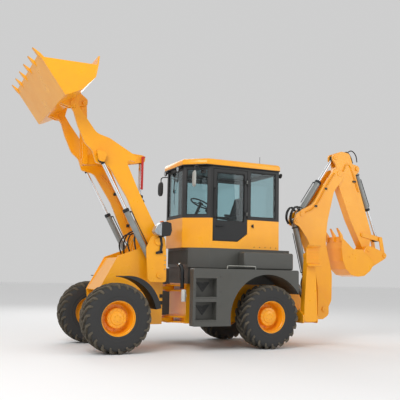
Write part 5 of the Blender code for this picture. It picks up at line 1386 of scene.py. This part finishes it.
    def _rivets(self, array: Array) -> None:
        """Rivet the deck's top edge, bolt the fenders and fix the rear reflectors.

        Args:
            array: The tree that repeats items.
        """
        rows = []
        for side in (-1, 1):
            item = rivet(0.008, (0, side, 0))
            rows.append(array.repeat(item, CHARCOAL, 14, (-0.340, side * self.half, 1.664),
                                     (-0.115, 0, 0)))
            item = bolt(0.008, (0, side, 0))
            rows.append(array.repeat(item, CHARCOAL, 4, (0.105, side * self.fender_outer, 0.450),
                                     (0, 0, 0.270)))
            rows.append(array.repeat(item, CHARCOAL, 3, (-0.360, side * self.fender_outer, 0.720),
                                     (0, 0, 0.240)))
        item = rivet(0.009, (1, 0, 0))
        rows.append(array.repeat(item, CHARCOAL, 8, (0.0003, -0.420, 1.664), (0, 0.120, 0)))
        array.place("deck_rivets", rows, CHARCOAL, "rear")
        lamps = Shape()
        for side in (-1, 1):
            y = side * 0.900
            lamps.box((-1.886, y - 0.05, 1.160), (-1.8753, y + 0.05, 1.235))
        lamps.finish("rear_reflectors", RED, "rear", bevel_mm=3)


# ---------------------------------------------------------------- loader
@dataclass
class Loader:
    """Trim on the front frame, the loader arms and the loader bucket."""

    lamp_y: float = 0.690
    axle_x: float = 1.342
    axle_z: float = 0.5375
    frame_face: float = 0.6003

    def build(self, array: Array) -> None:
        """Make the pieces.

        Args:
            array: The tree that repeats items.
        """
        self._lamps()
        self._pins()
        self._pipes()
        self._bucket(array)
        self._frame_trim(array)

    def _lamps(self) -> None:
        """Stand the two headlamps beside the arms on their brackets, with turn lamps."""
        housing, lens, amber, stand = Shape(), Shape(), Shape(), Shape()
        for side in (-1, 1):
            y = side * self.lamp_y
            outline = [(0.425, 1.930), (0.450, 1.845), (0.560, 1.825), (0.600, 1.832),
                       (0.600, 2.062), (0.520, 2.072), (0.440, 2.050)]
            housing.prism(outline, *sorted((y - side * 0.075, y + side * 0.085)))
            lens.prism([(0.6005, 1.836), (0.690, 1.862), (0.728, 1.905), (0.690, 2.000),
                        (0.6005, 2.058)], *sorted((y - side * 0.068, y + side * 0.080)))
            amber.prism([(0.600, 2.0625), (0.560, 2.070), (0.560, 2.084), (0.600, 2.080)],
                        *sorted((y - side * 0.040, y + side * 0.040)))
            stand.prism([(0.545, 1.832), (0.520, 1.700), (0.540, 1.560), (0.640, 1.540),
                         (0.640, 1.580), (0.580, 1.600), (0.560, 1.700), (0.590, 1.832)],
                        *sorted((side * 0.614, side * 0.622)))
            stand.box((0.520, min(side * 0.600, side * 0.622), 1.560),
                      (0.560, max(side * 0.600, side * 0.622), 1.600))
            stand.box((0.535, min(side * 0.614, y), 1.822), (0.595, max(side * 0.614, y), 1.832))
        housing.finish("headlamp_housings", PLASTIC, "front", bevel_mm=10)
        lens.finish("headlamp_lenses", LENS, "front", bevel_mm=8)
        amber.finish("turn_lamps", AMBER, "front", bevel_mm=3)
        stand.finish("headlamp_brackets", BLACK, "front", bevel_mm=1.5)

    def _pins(self) -> None:
        """Cap the pins of the arms, the lift cylinders and the bucket."""
        front, arms, bucket = Shape(), Shape(), Shape()
        for side in (-1, 1):
            front.rod((0.600, side * 0.607, 1.750), (0.600, side * 0.620, 1.750), 0.060, 32)
            front.rod((0.600, side * 0.618, 1.750), (0.600, side * 0.628, 1.750), 0.012, 6)
            front.rod((0.565, side * 0.607, 1.200), (0.565, side * 0.618, 1.200), 0.046, 32)
            front.rod((0.565, side * 0.616, 1.200), (0.565, side * 0.624, 1.200), 0.010, 6)
            arms.rod((1.590, side * 0.5735, 3.037), (1.590, side * 0.584, 3.037), 0.044, 32)
            arms.rod((1.590, side * 0.582, 3.037), (1.590, side * 0.590, 3.037), 0.009, 6)
            arms.rod((2.085, side * 0.529, 3.900), (2.085, side * 0.541, 3.900), 0.046, 32)
            arms.rod((2.085, side * 0.539, 3.900), (2.085, side * 0.547, 3.900), 0.010, 6)
            bucket.rod((1.800, side * 0.1405, 4.040), (1.800, side * 0.150, 4.040), 0.040, 28)
        front.finish("frame_pin_caps", YELLOW, "front")
        arms.finish("arm_pin_caps", YELLOW, "arms")
        bucket.finish("link_pin_caps", YELLOW, "loader_bucket")

    def _pipes(self) -> None:
        """Run steel pipes up the arms, hoses to the tilt cylinder, and hang the red safety strut."""
        pipes, clips = Shape(), Shape()
        for place, z in enumerate((0.0, 0.026)):
            route = [(0.66, -0.428, 1.86), (0.80, -0.428, 2.05), (0.960, -0.428, 2.42),
                     (1.160, -0.428, 2.76), (1.330, -0.428, 2.93)]
            pipes.tube([(x - z, y, zz + z) for x, y, zz in route], 0.008, 10)
        for x, z in ((0.80, 2.05), (1.06, 2.60)):
            clips.box((x - 0.035, -0.440, z - 0.012), (x + 0.020, -0.418, z + 0.040))
        pipes.finish("arm_pipes", YELLOW, "arms")
        clips.finish("arm_pipe_clips", BLACK, "arms", bevel_mm=2)
        hoses = Shape()
        for side in (-1, 1):
            hoses.tube([(0.640, side * 0.075, 1.93), (0.560, side * 0.110, 2.02),
                        (0.520, side * 0.150, 1.90), (0.530, side * 0.200, 1.70),
                        (0.560, side * 0.260, 1.48), (0.560, side * 0.300, 1.30)], 0.012, 12)
            hoses.tube([(0.880, side * 0.330, 1.560), (0.900, side * 0.290, 1.760),
                        (0.860, side * 0.220, 1.900), (0.780, side * 0.160, 1.960),
                        (0.720, side * 0.120, 2.080), (0.700, side * 0.100, 2.180)], 0.013, 12)
            hoses.tube([(0.960, side * 0.250, 1.560), (1.000, side * 0.230, 1.720),
                        (0.940, side * 0.160, 1.860), (0.850, side * 0.110, 1.900)], 0.013, 12)
        hoses.finish("tilt_hoses", RUBBER, "front")
        strut = Shape().box((0.716, 0.0805, 2.660), (0.756, 0.0985, 3.235))
        strut.rod((0.740, 0.0315, 3.200), (0.740, 0.1050, 3.200), 0.014, 20)
        strut.box((0.690, 0.0810, 3.215), (0.716, 0.0980, 3.240))
        strut.finish("lift_lock_strut", RED, "tilt_rod", bevel_mm=3)

    def _bucket(self, array: Array) -> None:
        """Bolt the loader bucket's cutting edge.

        Args:
            array: The tree that repeats items.
        """
        lip = Vector((2.750, 0, 4.432))
        tip = Vector((2.844, 0, 4.511))
        ahead = (tip - lip).normalized()
        up = Vector((-ahead.z, 0, ahead.x))
        at = lip - ahead * 0.055 + up * 0.0115
        rows = [array.repeat(bolt(0.011, tuple(up)), YELLOW, 12, (at.x, -0.980, at.z),
                             (0, 1.960 / 11, 0))]
        array.place("bucket_edge_bolts", rows, YELLOW, "loader_bucket")

    def _frame_trim(self, array: Array) -> None:
        """Add brackets and bolts to the front frame, and its two mudguards.

        Args:
            array: The tree that repeats items.
        """
        trim = Shape()
        for z in (0.720, 0.830, 1.240):
            trim.box((0.424, 0.395, z), (0.474, 0.415, z + 0.060))
        trim.finish("hinge_brackets", BLACK, "front", bevel_mm=3)
        rows = []
        for side in (-1, 1):
            rows.append(array.repeat(bolt(0.011, (0, side, 0)), ZINC, 3,
                                     (1.242, side * 0.4003, 0.720), (0.100, 0, 0)))
            rows.append(array.repeat(bolt(0.009, (0, side, 0)), YELLOW, 4,
                                     (0.470, side * self.frame_face, 1.300), (0, 0, 0.075)))
        array.place("front_frame_bolts", rows, ZINC, "front")
        for side, label in ((1, "left"), (-1, "right")):
            guard = Shape()
            inner, outer = [], []
            for step in range(25):
                share = step / 24
                t = math.radians(94 + 74 * share)
                flare = 0.5 - 0.5 * math.cos(math.pi * min(share * 3.0, 1.0))
                for ring, reach in ((inner, 0.632), (outer, 0.646 + 0.012 * flare)):
                    ring.append((self.axle_x + reach * math.cos(t),
                                 self.axle_z + reach * math.sin(t)))
            guard.prism(inner + outer[::-1], *sorted((side * self.frame_face, side * 0.920)))
            skirt = []
            for step in range(25):
                share = step / 24
                t = math.radians(96 + 72 * share)
                reach = 0.646 + 0.075 * math.sin(math.pi * min(0.5, share * 0.85))
                skirt.append((self.axle_x + reach * math.cos(t),
                                 self.axle_z + reach * math.sin(t)))
            guard.prism(inner[1:] + skirt[::-1], *sorted((side * 0.920, side * 0.932)))
            guard.finish("mudguard_shell_" + label, PLASTIC, "front", ("mudguard_" + label,),
                         bevel_mm=2, soften=30)


# ---------------------------------------------------------------- digging arm
@dataclass
class DiggingArm:
    """Trim on the swing post, boom, stick, hoe bucket and stabilisers."""

    boom_pipe_y: float = 0.129
    stick_pipe_y: float = 0.098

    def build(self, array: Array) -> None:
        """Make the pieces.

        Args:
            array: The tree that repeats items.
        """
        self._pins()
        self._boom_pipes()
        self._stick_pipes()
        self._bucket(array)
        self._post(array)
        self._stabilisers(array)

    def _pins(self) -> None:
        """Cap the pins at each pivot."""
        groups = {
            "swing_post": [(-2.990, 0.620, 0.189, 0.050)],
            "boom": [(-3.430, 3.300, 0.1205, 0.058), (-2.430, 2.300, 0.1205, 0.046),
                     (-2.530, 2.430, 0.1205, 0.046)],
            "stick": [(-3.350, 3.620, 0.0905, 0.044), (-3.900, 3.440, 0.0905, 0.044)],
            "hoe_bucket": [(-4.100, 1.800, 0.1665, 0.046)],
            "hoe_link": [(-4.500, 1.690, 0.1715, 0.044)],
        }
        for body, pins in groups.items():
            caps = Shape()
            for x, z, y, radius in pins:
                for side in (-1, 1):
                    caps.rod((x, side * y, z), (x, side * (y + 0.011), z), radius, 32)
                    caps.rod((x, side * (y + 0.010), z), (x, side * (y + 0.017), z), 0.009, 6)
            caps.finish(body + "_pin_caps", YELLOW, body)

    def _boom_pipes(self) -> None:
        """Run pipes and hoses along the boom's left face and over its hump."""
        pipes, hoses, clips = Shape(), Shape(), Shape()
        for place in range(2):
            step = 0.022 * place
            pipes.tube([(-2.600 - step * 0.3, self.boom_pipe_y, 2.480 - step),
                        (-2.720 - step * 0.5, self.boom_pipe_y, 2.535 - step),
                        (-2.825 - step, self.boom_pipe_y, 2.620 - step * 0.6),
                        (-2.950 - step, self.boom_pipe_y, 2.790 - step * 0.5),
                        (-3.065 - step, self.boom_pipe_y, 2.985 - step * 0.4),
                        (-3.190 - step, self.boom_pipe_y, 3.165 - step * 0.4),
                        (-3.290 - step, self.boom_pipe_y, 3.300 - step * 0.4)], 0.008, 10)
        for x, z in ((-2.835, 2.605), (-3.075, 2.965)):
            clips.box((x - 0.040, 0.1205, z - 0.018), (x + 0.022, 0.141, z + 0.018))
        pipes.finish("boom_pipes", YELLOW, "boom")
        clips.finish("boom_pipe_clips", BLACK, "boom", bevel_mm=2)
        for y in (0.100, 0.055, -0.055, -0.100):
            hoses.tube([(-2.500, y, 2.500), (-2.420, y * 1.2, 2.570),
                        (-2.330, y * 1.1, 2.480), (-2.300, y * 0.9, 2.340),
                        (-2.345, y * 0.8, 2.240)], 0.012, 12)
        hoses.finish("boom_hoses", RUBBER, "boom")

    def _stick_pipes(self) -> None:
        """Run pipes along the stick to its cylinder."""
        pipes, clips, hoses = Shape(), Shape(), Shape()
        for place in range(2):
            step = 0.024 * place
            y = self.stick_pipe_y
            pipes.tube([(-3.520 - step, y, 3.360), (-3.600 - step, y, 3.500),
                        (-3.700 - step * 0.6, y, 3.480), (-3.800 - step, y, 3.240),
                        (-3.900 - step, y, 2.960)], 0.008, 10)
        clips.box((-3.850, 0.0905, 3.150), (-3.770, 0.110, 3.182))
        pipes.finish("stick_pipes", YELLOW, "stick")
        clips.finish("stick_pipe_clips", BLACK, "stick", bevel_mm=2)
        for y in (-0.070, 0.070):
            hoses.tube([(-3.640, y, 3.745), (-3.760, y * 1.1, 3.800), (-3.860, y * 1.2, 3.720),
                        (-3.905, y, 3.580)], 0.011, 12)
        hoses.finish("stick_hoses", RUBBER, "stick")

    def _bucket(self, array: Array) -> None:
        """Bolt the hoe bucket's side cutters.

        Args:
            array: The tree that repeats items.
        """
        rows = []
        for side in (-1, 1):
            rows.append(array.repeat(bolt(0.010, (0, side, 0)), YELLOW, 2,
                                     (-3.640, side * 0.2485, 1.690), (0.085, 0, -0.055)))
        array.place("hoe_cutter_bolts", rows, YELLOW, "hoe_bucket")

    def _post(self, array: Array) -> None:
        """Guide hoses over the swing post and the frame, and bolt the cross box.

        Args:
            array: The tree that repeats items.
        """
        guide = Shape()
        for y in (-0.070, 0.070):
            guide.tube([(-2.700, y, 0.965), (-2.640, y * 1.1, 1.080), (-2.700, y * 1.3, 1.240),
                        (-2.800, y * 1.4, 1.290)], 0.012, 12)
        guide.finish("swing_post_hoses", RUBBER, "swing_post")
        hoses = Shape()
        for y in (-0.300, -0.255, 0.255, 0.300):
            hoses.tube([(-2.060, y, 1.020), (-2.160, y, 1.080), (-2.260, y * 0.95, 1.040),
                        (-2.320, y * 0.85, 0.975)], 0.013, 12)
        hoses.finish("frame_hoses", RUBBER, "rear")
        rows = [array.repeat(bolt(0.010, (0, 0, 1)), ZINC, 4, (-2.290, y, 0.6405), (0.075, 0, 0))
                for y in (-0.620, 0.620)]
        array.place("cross_box_bolts", rows, ZINC, "rear")

    def _stabilisers(self, array: Array) -> None:
        """Cap the stabilisers' pins and rib the pads.

        Args:
            array: The tree that repeats items.
        """
        for side, label in ((1, "left"), (-1, "right")):
            caps = Shape()
            caps.rod((-2.331, side * 0.860, 0.500), (-2.343, side * 0.860, 0.500), 0.036, 28)
            caps.finish("stabiliser_pin_cap_" + label, YELLOW, "rear")
            item = Shape().box((-0.130, -0.0035, -0.004), (0.130, 0.0035, 0.004))
            rows = [array.repeat(item, YELLOW, 5, (-2.190, side * 1.0065, 1.470),
                                 (0, 0, 0.065))]
            array.place("pad_ribs_" + label, rows, YELLOW, "stabiliser_pad_" + label)


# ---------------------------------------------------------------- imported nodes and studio
PAINTED: dict[str, Finish] = {
    "rear_frame": YELLOW, "engine": IRON, "rear_axle": IRON, "front_axle": IRON,
    "deck": CHARCOAL, "fender_left": CHARCOAL, "fender_right": CHARCOAL, "cab_base": YELLOW,
    "cab_frame": BLACK, "door_left": BLACK, "door_right": BLACK, "loader_bucket": YELLOW,
    "hoe_bucket": YELLOW,
}


def dress_packed_nodes(nodes: dict[str, bpy.types.Object]) -> None:
    """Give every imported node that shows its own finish.

    Args:
        nodes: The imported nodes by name.
    """
    for name, node in nodes.items():
        finish = PAINTED.get(name, YELLOW)
        node.data.materials.clear()
        node.data.materials.append(finish.build())
        for face in node.data.polygons:
            face.material_index = 0
        LOG.info("%s is finished in %s", name, finish.name)


def build_studio() -> None:
    """Lay a plain pale floor, light it softly and set the camera."""
    floor = bpy.data.meshes.new("floor")
    size = 60.0
    floor.from_pydata([(-size, -size, 0), (size, -size, 0), (size, size, 0), (-size, size, 0)],
                      [], [(0, 1, 2, 3)])
    ground = bpy.data.objects.new("floor", floor)
    bpy.context.scene.collection.objects.link(ground)
    pale = bpy.data.materials.new("pale_floor")
    pale.use_nodes = True
    shader = pale.node_tree.nodes["Principled BSDF"]
    shader.inputs["Base Color"].default_value = linear("F4F4F4")
    shader.inputs["Roughness"].default_value = 0.9
    floor.materials.append(pale)
    world = bpy.data.worlds.new("studio")
    world.use_nodes = True
    world.node_tree.nodes["Background"].inputs[0].default_value = linear("FFFFFF")
    world.node_tree.nodes["Background"].inputs[1].default_value = 0.62
    bpy.context.scene.world = world
    for name, place, power, size in (("key_light", (7.5, 7.0, 9.0), 620.0, 6.0),
                                     ("fill_light", (-8.0, 9.0, 6.0), 220.0, 7.0),
                                     ("back_light", (0.0, -9.0, 8.0), 260.0, 6.0)):
        lamp = bpy.data.lights.new(name, "AREA")
        lamp.energy = power
        lamp.size = size
        holder = bpy.data.objects.new(name, lamp)
        holder.location = place
        holder.rotation_mode = "QUATERNION"
        holder.rotation_quaternion = (Vector((0, 0, 1.6)) - Vector(place)).to_track_quat("-Z", "Y")
        bpy.context.scene.collection.objects.link(holder)
    bpy.context.scene.view_settings.view_transform = "Standard"
    set_camera()


def set_camera() -> None:
    """Stand the camera at the left of the machine, low, turned a little to its front."""
    yaw, pitch, roll = -0.429, 0.1201, 0.0208
    ahead = Vector((math.sin(yaw) * math.cos(pitch), -math.cos(yaw) * math.cos(pitch),
                    math.sin(pitch)))
    right = ahead.cross(Vector((0, 0, 1))).normalized()
    up = right.cross(ahead)
    tilted = right * math.cos(roll) + up * math.sin(roll)
    upper = up * math.cos(roll) - right * math.sin(roll)
    lens = bpy.data.cameras.new("camera")
    lens.lens = 55.95
    lens.sensor_width = 36.0
    lens.clip_end = 200.0
    camera = bpy.data.objects.new("camera", lens)
    turn = Matrix((tilted, upper, -ahead)).transposed().to_4x4()
    camera.matrix_world = Matrix.Translation((4.234 + SHIFT, 10.163, 1.219)) @ turn
    bpy.context.scene.collection.objects.link(camera)
    bpy.context.scene.camera = camera


def main() -> None:
    """Build everything in order."""
    logging.basicConfig(level=logging.INFO, format="%(name)s: %(message)s")
    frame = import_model()
    dress_packed_nodes(frame["nodes"])
    array = Array()
    for x, place in ((1.342, "front"), (-1.342, "rear")):
        for side, hand in ((1, "left"), (-1, "right")):
            Wheel(f"{place}_{hand}", x, side).build(array)
    build_cylinders()
    Cab().build(array)
    Operator().build()
    Deck().build(array)
    Loader().build(array)
    DiggingArm().build(array)
    build_studio()


if __name__ == "__main__":
    main()
